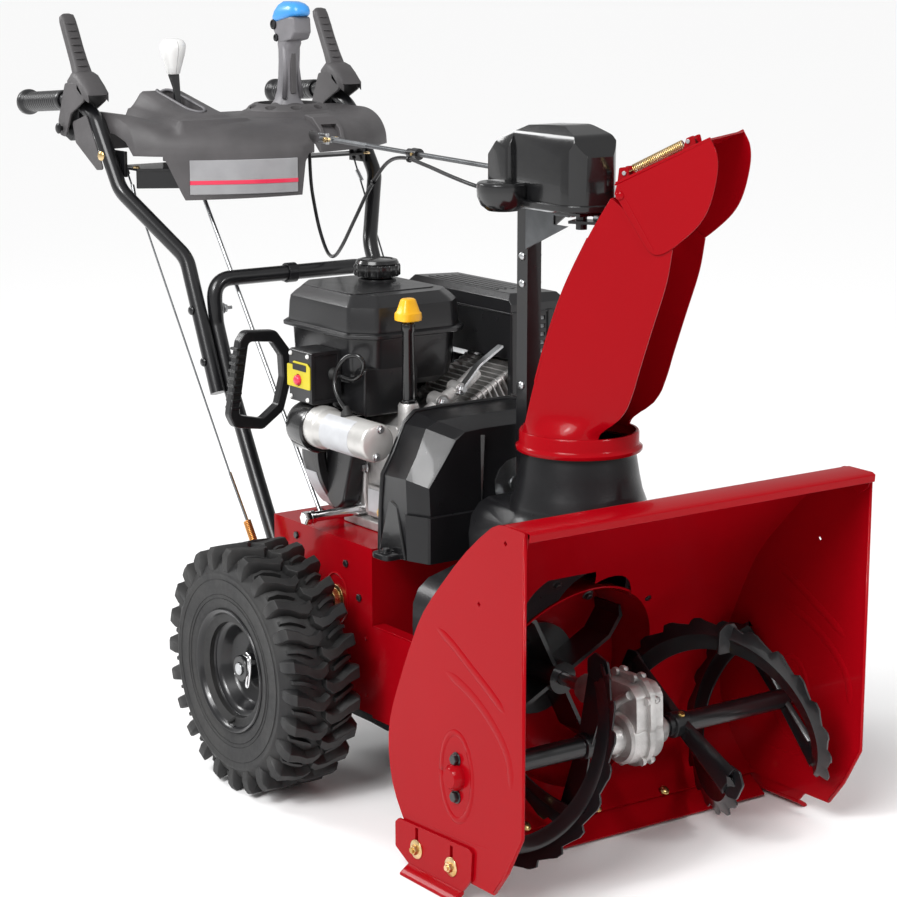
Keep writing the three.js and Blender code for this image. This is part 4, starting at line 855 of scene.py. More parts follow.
def lug(offset_degrees, flip):
    """One tread block: it starts on the sidewall, turns over the shoulder and kinks towards the middle."""
    stations = [                  # x of the base and top, radius of the base and top, angle, half width
        (50, 60.0, 148, 154.0, 1.2, 6.0),
        (50, 62.0, 158, 166.0, 0.9, 8.2),
        (46, 61.0, 166, 181.0, 0.6, 8.8),
        (40, 55.0, 168, 190.0, 0.2, 9.0),
        (30, 36.0, 170, 190.4, -1.6, 7.6),
        (20, 22.0, 170, 190.4, -4.2, 7.4),
        (8, 8.0, 170, 190.2, -4.8, 8.6),
        (0, -3.0, 170, 188.8, -2.4, 7.0),
        (-2, -5.0, 168, 176.0, -1.9, 6.0),
    ]
    rings = []
    for base_x, top_x, base_r, top_r, angle, half in stations:
        ring = []
        for side, level in ((-1.35, 0), (-1.05, 0.86), (-0.86, 1), (0.86, 1), (1.05, 0.86), (1.35, 0)):
            r = base_r + (top_r - base_r) * level
            x = base_x + (top_x - base_x) * level
            turn = math.radians(angle + offset_degrees) + half * side / r
            ring.append((-flip * x, r * math.sin(turn), r * math.cos(turn)))
        rings.append(ring)
    return loft(rings)


def sipe(offset_degrees, flip):
    """A small bar that stands between two tread blocks near the shoulder."""
    rings = []
    for x, top_r, angle, half in ((52, 176, 7.8, 2.6), (40, 183, 7.2, 3.2), (26, 184, 5.4, 3.4),
                                  (16, 183, 3.4, 3.0)):
        ring = []
        for side, level in ((-1.2, 0), (-0.9, 1), (0.9, 1), (1.2, 0)):
            r = 168 + (top_r - 168) * level
            turn = math.radians(angle + offset_degrees) + half * side / r
            ring.append((-flip * x, r * math.sin(turn), r * math.cos(turn)))
        rings.append(ring)
    return loft(rings)


def wheel(side, sign):
    centre = Matrix.Translation((sign * WHEEL_X, *WHEEL)) @ Matrix.Diagonal((-sign, 1, 1, 1))
    profile = [(r, -x) for r, x in TYRE_SIDE] + [(177.6, 0)] + [(r, x) for r, x in TYRE_SIDE[::-1]]
    profile += [(74, 50), (74, -50)]
    carcass = lathe(profile, "x", (0, 0, 0), 112)
    piece(f"tyre_carcass_{side}", carcass, "tyre", "wheels", sharp=50, place=centre,
          replaces=(f"tyre_{side}",))
    pitch = 360 / LUGS
    treads = total(lug(k * pitch + (0 if flip > 0 else pitch / 2), flip) for flip in (1, -1)
                   for k in range(LUGS))
    piece(f"tyre_lugs_{side}", treads, "tyre", "wheels", bevel=1.1, sharp=32, place=centre)
    bars = total(sipe(k * pitch + (0 if flip > 0 else pitch / 2), flip) for flip in (1, -1)
                 for k in range(LUGS))
    piece(f"tyre_bars_{side}", bars, "tyre", "wheels", place=centre, sharp=32)
    ridges = total(lathe([(r - 0.8, -60), (r, -61.9), (r + 0.8, -60)], "x", (0, 0, 0), 96)
                   for r in (112, 118, 141))
    piece(f"tyre_ridges_{side}", ridges, "tyre", "wheels", place=centre, sharp=60)

    face = [(20, -14), (27, -9), (40, -8), (46, -13), (55, -14), (60, -20), (64, -34), (68, -39),
            (73, -40), (76, -47), (82, -50), (86, -53), (88, -57), (91, -60.5), (94.5, -61.5), (96, -59),
            (95, -57.5), (92.5, -58), (90, -56), (88, -51), (84, -47.5), (78, -45), (75, -38), (70, -36),
            (66.5, -31), (64, -17), (64, 52), (84, 56), (92, 60), (92, 62), (84, 59), (61.5, 55),
            (61.5, -10), (47, -10), (40, -5), (26, -6), (20, -10)]
    hub = [(9.9, -40), (19, -40), (20.5, -38), (20.5, 60), (9.9, 60)]
    piece(f"rim_{side}", lathe(face, "x", (0, 0, 0), 96), "black_paint", "wheels", bevel=0.5, sharp=50,
          place=centre, replaces=(f"wheel_rim_{side}",))
    piece(f"hub_{side}", lathe(hub, "x", (0, 0, 0), 48), "black_paint", "wheels", bevel=0.8, place=centre)
    nub = lathe([(0, -43), (9.4, -43), (9.4, -38), (0, -38)], "x", (0, 0, 0), 32)
    piece(f"axle_end_{side}", nub, "steel", "wheels", bevel=1.0, place=centre)
    clip = [(-33, -10, 26), (-34, -22, 22), (-36, -25, 6), (-37, -24, -10), (-37, -20, -24), (-37, -14, -24),
            (-37, -17, -10), (-36, -19, 4), (-34, -16, 18), (-32, 0, 20)]
    wire = sweep(curve(clip, 6), 2.0, 10) + rod((-31, -26, 15), (-31, 26, -15), 3.6, 14)
    piece(f"hairpin_{side}", wire, "chrome", "wheels", place=centre)
    valve = rod((-46, 0, -76), (-62, 0, -82), 3.4, 12)
    piece(f"valve_{side}", valve, "rubber", "wheels", bevel=0.5, place=centre)


# ---------------------------------------------------------------- traction frame and chute post
def frame_parts():
    keep("traction_frame", "red_paint", 1.6)
    keep("bottom_cover", "black_paint", 1.0)
    for node, paint in (("axle", "steel"), ("hex_shaft", "steel"), ("friction_wheel", "rubber"),
                        ("drive_disc", "cast_aluminium"), ("crank_pulley", "steel"),
                        ("auger_belt", "rubber"), ("traction_belt", "rubber"), ("impeller_shaft", "steel"),
                        ("stick_yoke", "steel")):
        keep(node, paint, 0.3)
    for side, sign in RIGHT_LEFT:
        heads = total(bolt((sign * FRAME_X, y, z), (sign, 0, 0), 6, 4)
                      for y, z in ((782, 362), (640, 346), (604, 300)))
        piece(f"frame_bolts_{side}", heads, "black_paint", bevel=0.4)
        ring = sweep([(sign * (FRAME_X + 0.4), 668 + 32 * math.cos(a), 285 + 40 * math.sin(a))
                      for a in [math.radians(12 * k) for k in range(32)]], 1.6, 8)
        piece(f"frame_crease_{side}", ring, "red_paint")
        cup = [(9, 0), (22, 0), (22, 2.5), (17, 4), (16, 13), (13, 15), (9, 15)]
        outward = Matrix.Diagonal((sign, 1, 1, 1)) @ Matrix.Translation((FRAME_X + 0.4, 0, 0))
        bearing = lathe(cup, "x", (0, 668, 285), 40).moved(outward)
        piece(f"hex_bearing_{side}", bearing, "gold_zinc", bevel=0.5)
        boss = [(12.6, 0), (21, 0), (21, 3), (16, 5), (15, 12), (12.6, 12)]
        piece(f"axle_bearing_{side}", lathe(boss, "x", (0, *WHEEL), 40).moved(outward), "steel", bevel=0.5)
        spots = [(586, 240), (586, 150), (352, 200), (352, 140)]
        dots = total(screw((sign * FRAME_X, y, z), (sign, 0, 0), 3, 1.5) for y, z in spots)
        piece(f"frame_rivets_{side}", dots, "red_paint")
    for side, sign in RIGHT_LEFT:
        lip = slab("x", [(404, 262), (568, 262), (568, 264.4), (404, 264.4)],
                   *sorted((sign * FRAME_X, sign * 148)))
        piece(f"frame_ledge_{side}", lip, "red_paint", bevel=1.0)
    knobs = total(rod((-160, y, 118), (-160, y, 104), 5, 16) for y in (336, 350, 364, 378))
    strip = block((-168, -150), (326, 566), (110, 117))
    for side, place in SIDES:
        piece(f"frame_foot_{side}", knobs + strip, "black_plastic", bevel=0.8, place=place)


def chute_post():
    keep("chute_post", "black_paint", 0.8)
    rounds = [screw((-12.5, 409, z), (-1, 0, 0), 6.2, 4) for z in POST_BOLTS]
    piece("post_bolts", total(rounds), "steel")
    nuts = [bolt((12.5, 409, z), (1, 0, 0), 6, 5, 8) for z in POST_BOLTS]
    piece("post_nuts", total(nuts), "steel", bevel=0.3)
    gusset = slab("x", [(296, 901), (396, 901), (396, 842), (296, 885)], -17, -14.4)
    swing = lathe([(0, 884), (46, 884), (46, 897), (0, 897)], "z", (0, DISCHARGE_Y, 0), 48)
    piece("head_gusset", gusset, "zinc_dark", bevel=0.5, cuts=(swing,))
    under = [bolt((x, y, 901), (0, 0, -1), 7, 7, 10) for x, y in ((14, 330), (-6, 370), (14, 270))]
    piece("head_nuts", total(under), "steel", bevel=0.3)
    outline = [(-28, 356), (28, 356), (28, 392), (14, 404), (-14, 404), (-28, 392)]
    foot = slab("y", soft(outline, 4), 421.8, 424.5)
    piece("post_foot", foot, "black_paint", bevel=0.6)


def gear_head():
    tail = [(46, 400), (38, 460), (20, 475), (-20, 475), (-38, 460), (-46, 400)]
    plan = arc((0, DISCHARGE_Y), 47, 190, 350, 24) + soft(tail, 9)
    side = soft([(236, 908), (236, 936), (247, 986), (264, 1013), (300, 1026), (376, 1022), (432, 999),
                 (478, 958), (478, 908)], 14, 6)
    across = soft([(-50, 900), (-50, 972), (-34, 1012), (-24, 1026), (24, 1026), (34, 1012), (50, 972),
                   (50, 900)], 10, 6)
    head = raw_object("gear_head", slab("z", plan, 908, 1026))
    carve(head, slab("x", side, -60, 60), "INTERSECT")
    carve(head, slab("y", across, 200, 500), "INTERSECT")
    finish_casting(head, "gloss_plastic", 3.5, 34, "gear_head_cover")
    flange = arc((0, DISCHARGE_Y), 50, 190, 350, 24) + [(49, 400), (40, 464), (21, 479), (-21, 479),
                                                        (-40, 464), (-49, 400)]
    piece("gear_head_flange", slab("z", flange, 908, 918), "gloss_plastic", bevel=2, sharp=30)
    pod = [(0, 900), (22, 900), (32, 908), (37, 920), (38, 934), (37.5, 939), (34, 941.5), (30, 940.6),
           (0, 940.6)]
    piece("gear_head_pod", lathe(pod, "z", (-56, 398, 0), 64), "gloss_plastic", bevel=1)
    plate = slab("z", soft([(-45, 300), (45, 300), (45, 440), (20, 470), (-20, 470), (-45, 440)], 8),
                 905.4, 908)
    piece("gear_head_plate", plate, "steel", bevel=0.4)


# ---------------------------------------------------------------- handlebars
def handlebars():
    x = LEG_X
    leg = [(-x, 800, 205), (-x, 930, 424), (-x, 1004, 555), (-x, 1050, 660), (-x, 1058, 732)]
    path = leg + [(-a, b, c) for a, b, c in leg[::-1]]
    piece("lower_bar", sweep(bent(path, 36, 10), HANDLE_RADIUS, 28), "black_paint", sharp=60,
          replaces=("lower_handle",))
    clamp = lathe([(12.9, -9), (16.5, -9), (16.5, 9), (12.9, 9)], "x", (-6, 1058, 732), 32)
    clamp = clamp + block((-13, 1), (1069, 1079), (716, 730))
    piece("cable_clamp", clamp, "black_plastic", bevel=0.8)
    piece("cable_clamp_screw", screw((-6, 1079, 722), (0, 1, 0), 4, 3), "steel")
    ends = [(-GRIP_X, 1518, 997), (-GRIP_X, 1330, 1012), (-GRIP_X, 1266, 984), (-GRIP_X, 1187, 872),
            (-179.5, 1098, 765), (-179.5, 1004, 555)]
    for side, place in SIDES:
        piece(f"upper_bar_{side}", sweep(bent(ends, 60, 12), HANDLE_RADIUS, 28), "black_paint", sharp=60,
              place=place, replaces=(f"upper_handle_{side}",))
        bracket = slab("x", soft([(1306, 1008), (1366, 1004), (1366, 952), (1338, 942), (1308, 966)], 8),
                       -262, -238)
        bracket = bracket + rod((-278, 1348, 964), (-222, 1348, 964), 4, 16)
        piece(f"lever_bracket_{side}", bracket, "black_plastic", bevel=2.0, place=place)
        pivots = total(screw((sx, 1348, 964), (direction, 0, 0), 9, 4)
                       for sx, direction in ((-278, -1), (-222, 1)))
        piece(f"lever_pivot_caps_{side}", pivots, "black_plastic", place=place)
        heads = [screw((-192, y, z), (-1, 0, 0), 7.5, 5) for y, z in ((1062, 684), (1026, 604))]
        piece(f"handle_bolts_{side}", total(heads), "black_paint", bevel=0.3, place=place)
        tails = [bolt((-139, y, z), (1, 0, 0), 7, 6, 9) for y, z in ((1054, 684), (1026, 604))]
        tails += [rod((-133, y, z), (-122, y, z), 3, 12) for y, z in ((1054, 684), (1026, 604))]
        piece(f"handle_nuts_{side}", total(tails), "steel", bevel=0.3, place=place)
        start, end = Vector((-GRIP_X, 1376, 1008.4)), Vector((-GRIP_X, 1522.2, 996.7))
        along = (end - start).length
        outline = [(13.3, 0), (15.5, 0), (17, 2)]
        for k in range(16):
            d = 8 + k * 7.6
            outline += [(17.2, d), (17.2, d + 4.6), (16.4, d + 5.4), (16.4, d + 6.8)]
        outline += [(17.2, along - 16), (21, along - 13), (22, along - 10), (22, along - 3), (20, along),
                    (0, along), (0, along - 4), (13.3, along - 4)]
        sleeve = lathe(outline, "z", (0, 0, 0), 40).moved(Matrix.Translation(start) @ facing(end - start))
        piece(f"grip_sleeve_{side}", sleeve, "satin_plastic", sharp=40, place=place,
              replaces=(f"grip_{side}",))


# ---------------------------------------------------------------- console and its controls
CONSOLE_FRONT = [(-236, 1168), (-202, 1130), (-150, 1098), (-90, 1072), (-20, 1054), (50, 1050), (120, 1064),
                 (180, 1088), (236, 1128)]


def bump(x, centre, half, soft_edge):
    """1 within half of a centre, falling smoothly to 0 over the edge."""
    t = (half + soft_edge - abs(x - centre)) / soft_edge
    t = max(0.0, min(1.0, t))
    return t * t * (3 - 2 * t)


CONSOLE_TOP, CONSOLE_EDGE = 981, 934
FRONT_ROLL = 82                   # depth of the console's rolled front


def console_height(x, y):
    """Height of the console's top at a point, without its rounded front."""
    dome = 9 * bump(math.hypot(x - STICK[0], y - STICK[1]), 0, 66, 26)
    return CONSOLE_TOP + bump(x, -246, 16, 60) * 12 + bump(x, 246, 22, 54) * 7 + dome


def console_surface(x, y, front):
    """Height of the console's skin: the top, its rolled front and the hump round the speed slot."""
    t = max(0.0, min(1.0, (y - front) / FRONT_ROLL))
    z = CONSOLE_EDGE + (console_height(x, y) - CONSOLE_EDGE) * math.sqrt(1 - (1 - t) ** 2.2)
    slope = max(0.0, min(1.0, (y - 1150) / 150))
    ledge = bump(x, SPEED_X, 62, 9) * bump(y, 1226, 94, 10)
    hump = bump(x, SPEED_X - 2, 32, 26) * bump(y, 1232, 76, 18)
    z += max(0, 985 + 10 * slope - z) * ledge
    return z + max(0, 989 + 34 * slope - z) * hump


def console():
    fronts = [tuple(p) for p in curve(CONSOLE_FRONT, 10)]
    rows = []
    steps = 62
    for x, front in fronts:
        rear = 1318 - 18 * max(0, (abs(x) - 150) / 86)
        fall = max(0.0, min(1.0, (x + 201) / 28)) * max(0.0, min(1.0, (24 - x) / 8))
        bottom = 929 - 72 * fall + 4 * (x + 201) / 230 * (fall > 0)
        row = [(x * 0.985, front + 5, bottom), (x, front, bottom), (x, front - 0.5, 932)]
        for k in range(steps + 1):
            y = front + (rear - front - 4) * (k / steps) ** 1.3
            row.append((x, y, console_surface(x, y, front)))
        row += [(x, rear - 1, console_height(x, rear) - 3), (x, rear, 974), (x, rear, 929),
                (x, rear - 5, 929), (x, rear - 6, 964)]
        row += [(x, front + 60, 960), (x, front + 24, 950), (x * 0.985, front + 6, 928)]
        rows.append(row)
    slot = slab("z", soft([(SPEED_X - 15, 1172), (SPEED_X + 15, 1172), (SPEED_X + 15, 1311),
                           (SPEED_X - 15, 1311)], 12, 6), 900, 1060)
    ball_room = lathe([(0, 940), (50.5, 940), (50.5, 1010), (0, 1010)], "z", (*STICK[:2], 0), 64)
    notch = slab("y", [(41, 956), (36, 900), (58, 900), (49, 956)], 1000, 1100)
    eye = lathe([(0, 1000), (11, 1000), (11, 1100), (0, 1100)], "y", (45, 0, 954), 32)
    piece("console_shell", loft(rows), "grey_plastic", sharp=60, cuts=(slot, ball_room, notch, eye),
          replaces=("console_panel",))

    rim = [(SPEED_X + 15.5 * max(-1, min(1, 1.45 * c)), 1242 + 70 * s)
           for c, s in arc((0, 0), 1, 0, 350, 46)]
    path = [(x, y, console_surface(x, y, 1076) + 0.4) for x, y in rim]
    piece("speed_slot_rim", sweep(path + path[:2], 2.4, 10), "grey_light", sharp=180)
    for side, sign in RIGHT_LEFT:
        wall = slab("x", [(1178, 960), (1178, 990), (1304, 1018), (1304, 960)],
                    *sorted((SPEED_X + sign * 16, SPEED_X + sign * 18)))
        piece(f"speed_slot_wall_{side}", wall, "black_plastic")
    teeth = total(block((SPEED_X + 8, SPEED_X + 16), (1186 + k * 14, 1193 + k * 14), (962, 984 + k * 3.4))
                  for k in range(8))
    piece("speed_detents", teeth, "satin_plastic", bevel=1)

    collar = lathe([(50.6, 974), (78, 974), (74, 986), (66, 995), (57, 1000), (50.6, 1000)], "z",
                   (*STICK[:2], 0), 72)
    holes = []
    for k in range(9):
        a = math.radians(40 * k + 12)
        spot = Vector((STICK[0] + 64 * math.cos(a), STICK[1] + 64 * math.sin(a), 994))
        hole = lathe([(0, -14), (6, -14), (6, 14), (0, 14)], "z", (0, 0, 0), 16)
        outward = Matrix.Translation(spot) @ Matrix.Rotation(a, 4, "Z")
        holes.append(hole.moved(outward @ Matrix.Diagonal((0.8, 1.7, 1, 1))))
    piece("stick_collar", collar, "grey_plastic", sharp=50, cuts=holes, bevel=0.5)
    under = lathe([(51, 966), (72, 966), (72, 984), (51, 984)], "z", (*STICK[:2], 0), 48)
    piece("stick_collar_lining", under, "black_plastic")
    pad = slab("x", soft([(1052, 940), (1062, 966), (1086, 984), (1112, 988), (1112, 940)], 5), 58, 104)
    piece("console_boss", pad, "grey_plastic", bevel=4, cuts=(block((66, 96), (1040, 1080), (952, 972)),))

    badge, border = [], []
    for x, y in [tuple(p) for p in curve([(-166, 1106), (-90, 1071), (-20, 1053), (6, 1050.6)], 8)]:
        badge.append([(x, y - 0.4, 866), (x, y - 1.8, 867), (x, y - 1.8, 922), (x, y - 0.4, 923)])
        border.append([(x, y - 0.6, 882), (x, y - 2.6, 883), (x, y - 2.6, 889), (x, y - 0.6, 890)])
    piece("badge_plate", loft(badge), "badge_grey", sharp=40, bevel=0.5)
    piece("badge_band", loft(border), "red_plastic", sharp=40)

    tray = slab("z", [(-232, 1160), (-150, 1112), (-150, 1180), (-60, 1190), (232, 1190), (232, 1236),
                      (-232, 1236)], 904.5, 908.5)
    apron = slab("z", [(-232, 1162), (-150, 1114), (-150, 1118), (-232, 1166)], 876, 908)
    lever_room = block((SPEED_X - 15, SPEED_X + 15), (1168, 1250), (870, 912))
    wire_slots = [block((s * 223.5 - 6.5, s * 223.5 + 6.5), (1202, 1230), (870, 912)) for s in (-1, 1)]
    piece("console_bracket", tray + apron, "black_paint", bevel=0.8, cuts=[lever_room] + wire_slots)
    for side, place in SIDES:
        tab = block((-236.5, -231), (1196, 1240), (892, 934))
        piece(f"bracket_tab_{side}", tab, "black_paint", bevel=0.8, place=place)
        head = screw((-263, 1226, 926), (-1, -0.2, 0), 8, 4) + screw((-226, 1176, 908), (0, 0, 1), 6, 4)
        piece(f"bracket_bolts_{side}", head, "gold_zinc", place=place)
        plate = slab("x", soft([(1216, 904), (1239, 902), (1312, 942), (1322, 976), (1272, 990)], 6),
                     -266, -262.8)
        piece(f"tube_shield_{side}", plate, "grey_plastic", bevel=1, place=place)
    ears = total(block((SPEED_X + s * 20 - 2, SPEED_X + s * 20 + 2), (1236, 1268), (907, 950))
                 for s in (-1, 1))
    piece("speed_ears", ears, "black_paint", bevel=0.6)
    lifts = total(block((STICK[0] + s * 30 - 4, STICK[0] + s * 30 + 4), (1202, 1222), (907, 962))
                  for s in (-1, 1))
    piece("stick_ears", lifts, "black_paint", bevel=0.6)


def squircle(centre, wide, deep, power, count=24):
    """A rounded rectangle as a ring of (x, y) points."""
    points = []
    for k in range(count):
        c, s = math.cos(2 * math.pi * k / count), math.sin(2 * math.pi * k / count)
        points.append((centre[0] + wide * math.copysign(abs(c) ** power, c),
                       centre[1] + deep * math.copysign(abs(s) ** power, s)))
    return points


def speed_control():
    rings = []
    for y, z, half, deep in ((1252, 928, 6, 8), (1252, 960, 5, 8), (1251, 1000, 5, 6), (1255, 1030, 6, 6),
                             (1263, 1050, 9, 7), (1264, 1068, 9, 5)):
        rings.append([(SPEED_X - half, y - deep / 2, z), (SPEED_X + half, y - deep / 2, z),
                      (SPEED_X + half, y + deep / 2, z), (SPEED_X - half, y + deep / 2, z)])
    foot = slab("x", [(1248, 938), (1200, 915), (1203, 908), (1256, 930)], SPEED_X - 3, SPEED_X + 3)
    hub = rod((SPEED_X - 12, 1252, 936), (SPEED_X + 12, 1252, 936), 8, 28)
    piece("speed_lever_bar", loft(rings) + foot + hub, "black_paint", "shift", bevel=0.8,
          replaces=("speed_lever",))
    for name, sign in RIGHT_LEFT:
        half = []
        for z, wide, deep in ((1052, 9, 9), (1054, 10.5, 10.5), (1064, 13, 13), (1076, 16.5, 16),
                              (1088, 19.6, 19), (1096, 21.2, 20), (1102, 20.6, 19.4), (1108, 17, 16),
                              (1111, 10, 10)):
            ring = [(SPEED_X + sign * 0.5, 1264 - deep, z)]
            for k in range(11):
                a = math.radians(-90 + 18 * k)
                ring.append((SPEED_X + sign * (0.9 + wide * math.cos(a) ** 0.8), 1264 + deep * math.sin(a),
                             z))
            half.append(ring)
        replaced = ("speed_knob",) if sign < 0 else ()
        piece(f"speed_knob_{name}", loft(half), "white_plastic", "shift", bevel=0.6, sharp=40,
              replaces=replaced)
    rods = [(SPEED_X, 1196, 902), (SPEED_X, 1190, 880), (SPEED_X + 4, 818, 372), (SPEED_X + 4, 812, 340)]
    piece("speed_rod_bar", sweep(bent(rods, 20), 3.5, 16), "steel", "shift_rod", replaces=("speed_rod",))
    piece("speed_rod_end", bolt((SPEED_X - 5, 1197, 902), (-1, 0, 0), 5, 4, 7), "gold_zinc", "shift_rod")


def stick_control():
    x, y = STICK[:2]
    shell = [math.radians(68 - 8.5 * k) for k in range(8)]
    ball = lathe([(0, 45)] + [(45 * math.sin(a), 45 * math.cos(a)) for a in shell[::-1]]
                 + [(48.8 * math.sin(a), 48.8 * math.cos(a)) for a in shell] + [(0, 48.8)], "z", STICK, 72)
    piece("stick_ball", ball, "grey_plastic", "stick", sharp=180, replaces=("control_stick",))
    stations = [(998, 25, 24, -1), (1006, 20, 20, -1), (1020, 16.5, 17, -2), (1044, 15, 15, -3),
                (1070, 15, 15, -5), (1090, 16, 16, -7), (1100, 17.5, 19, -9), (1108, 17, 18, -10)]
    rings = [[(a, b, level) for a, b in squircle((x, y + lean), wide, deep, 0.62)]
             for level, wide, deep, lean in stations]
    piece("stick_column", loft(rings), "grey_light", "stick", sharp=60, bevel=0.4)
    for side, sign in RIGHT_LEFT:
        flute = sweep([(x + sign * 13, y - 15, 1102), (x + sign * 12, y - 14, 1060),
                       (x + sign * 17, y - 18, 1008)], 4, 10)
        piece(f"stick_flute_{side}", flute, "grey_light", "stick", sharp=180)
    groove = block((x - 5, x + 5), (y - 22, y - 17), (1016, 1098))
    piece("stick_front_rib", groove, "grey_plastic", "stick", bevel=1.5)
    head = [(y - 52, 1120), (y - 50, 1146), (y + 14, 1150), (y + 20, 1128), (y + 8, 1112), (y - 4, 1100),
            (y - 22, 1104), (y - 44, 1108)]
    piece("stick_head", slab("x", soft(head, 6), x - 18, x + 18), "grey_light", "stick", bevel=4, segments=3)
    discs = Shape([], [])
    for dy, level, radius in ((12, 1132, 9), (4, 1110, 7)):
        edge = [(0, 0), (radius, 0), (radius - 1, 3), (radius - 3, 3), (radius - 4, 1.4), (0, 1.4)]
        disc = lathe(edge, "x", (0, y + dy, level), 32).moved(Matrix.Diagonal((-1, 1, 1, 1)))
        discs = discs + disc.shifted(x - 17.6, 0, 0)
    piece("stick_pivots", discs, "black_plastic", "stick", bevel=0.4)
    cap = []
    for level, wide, front_y, rear_y, slope in ((1141, 18.5, -55, 24, -8), (1144, 20.4, -58, 27, -8),
                                                (1150, 20.6, -58, 27, -7), (1158, 19.6, -55, 22, -5),
                                                (1166, 16, -46, 12, -2), (1171, 9, -34, 0, 0)):
        middle, deep = (front_y + rear_y) / 2, (rear_y - front_y) / 2
        cap.append([(a, b, level + slope * (b - y - middle) / deep)
                    for a, b in squircle((x, y + middle), wide, deep, 0.65, 28)])
    piece("stick_cap", loft(cap), "blue_plastic", "trigger", sharp=60, bevel=0.6,
          replaces=("stick_trigger",))


def squeeze_levers():
    for side, place in SIDES:
        body = f"lever_{side}"
        blade = []
        spine = [(1298, 1036, 19, 10), (1309, 1052, 17, 9.5), (1322, 1074, 15, 9), (1336, 1098, 14.5, 8.5),
                 (1349, 1122, 14.5, 8.5), (1359, 1140, 14, 8.5), (1363, 1148, 12.5, 7.5), (1366, 1151, 7, 4)]
        for py, pz, wide, deep in spine:
            blade.append([(-GRIP_X + u, py + v * 0.88, pz - v * 0.48)
                          for u, v in squircle((0, 0), wide, deep, 0.65, 20)])
        piece(f"lever_blade_{side}", loft(blade), "grey_plastic", body, sharp=50, place=place,
              replaces=(f"control_lever_{side}",))
        ridges = []
        for k in range(7):
            py, pz = 1314 + 40 * k / 6, 1066 + 68 * k / 6
            ridges.append(sweep([(-GRIP_X + u, py - 6.3 - 0.9 * (1 - abs(u) / 13), pz + 3.2)
                                 for u in (-10, -6, 0, 6, 10)], 1.9, 10, taper=1.5))
        piece(f"lever_ridges_{side}", total(ridges), "grey_plastic", body, place=place, sharp=180)
        hood = []
        for py, pz, wide, top, low in ((1254, 1016, 17, 3, -6), (1260, 1024, 21, 8, -10),
                                       (1274, 1034, 22, 11, -12), (1290, 1044, 22, 13, -12),
                                       (1304, 1048, 21.5, 13, -12), (1318, 1048, 20, 12, -14),
                                       (1332, 1042, 18, 8, -12)):
            hood.append([(-GRIP_X + wide * dx, py, pz + dz) for dx, dz in (
                (-1, low), (-1, top * 0.2), (-0.82, top * 0.75), (-0.4, top), (0.4, top), (0.82, top * 0.75),
                (1, top * 0.2), (1, low))])
        room = slab("x", [(1230, 1000), (1240, 1016), (1268, 1028), (1296, 1034), (1345, 1032), (1345, 990),
                          (1230, 990)], -GRIP_X - 18, -GRIP_X + 18)
        piece(f"lever_hood_{side}", loft(hood), "grey_plastic", body, sharp=50, bevel=1.2, place=place,
              cuts=(room,))
        outline = soft([(1262, 1016), (1290, 1042), (1334, 1040), (1362, 976), (1357, 952), (1338, 950),
                        (1316, 990)], 8)
        cheeks = total(slab("x", outline, -GRIP_X + near, -GRIP_X + near + 4.4) for near in (-22, 17.6))
        piece(f"lever_cheeks_{side}", cheeks, "grey_plastic", body, bevel=1.4, place=place)
        top, low, spring, hook = (-222, 1196, 872), (-205, 928, 440), (-200, 884, 368), (-198.5, 862, 332)
        piece(f"wire_{side}", sweep([(-223.2, 1215, 902.6), low], 1.5, 10) + sweep([low, spring], 1.9, 10),
              "zinc_dark", f"wire_{side}", place=place, replaces=(f"control_wire_{side}",))
        coil = helix(spring, hook, 5.4, 15, 1.4) + sweep([low, spring], 2.0, 10).shifted(1.2, 0, 0)
        piece(f"wire_spring_{side}", coil, "copper_zinc", f"wire_{side}", sharp=60, place=place)
        along = (Vector(top) - Vector(low)).normalized()
        sleeve, bore = [[Vector(top) + along * t for t in span] for span in ((28, 60), (20, 70))]
        piece(f"wire_sleeve_{side}", sweep(sleeve, 3.6, 16), "black_plastic", place=place,
              cuts=(sweep(bore, 2.4, 16),))
        barrel = rod((-224, 1188, 860), (-221, 1200, 878), 3.4, 12)
        piece(f"wire_end_{side}", barrel, "steel", f"wire_{side}", bevel=0.5, place=place)


FLAT_BAR = [(-4, -1.6), (4, -1.6), (4, 1.6), (-4, 1.6)]
UPRIGHT_BAR = [(-1.6, -4), (1.6, -4), (1.6, 4), (-1.6, 4)]


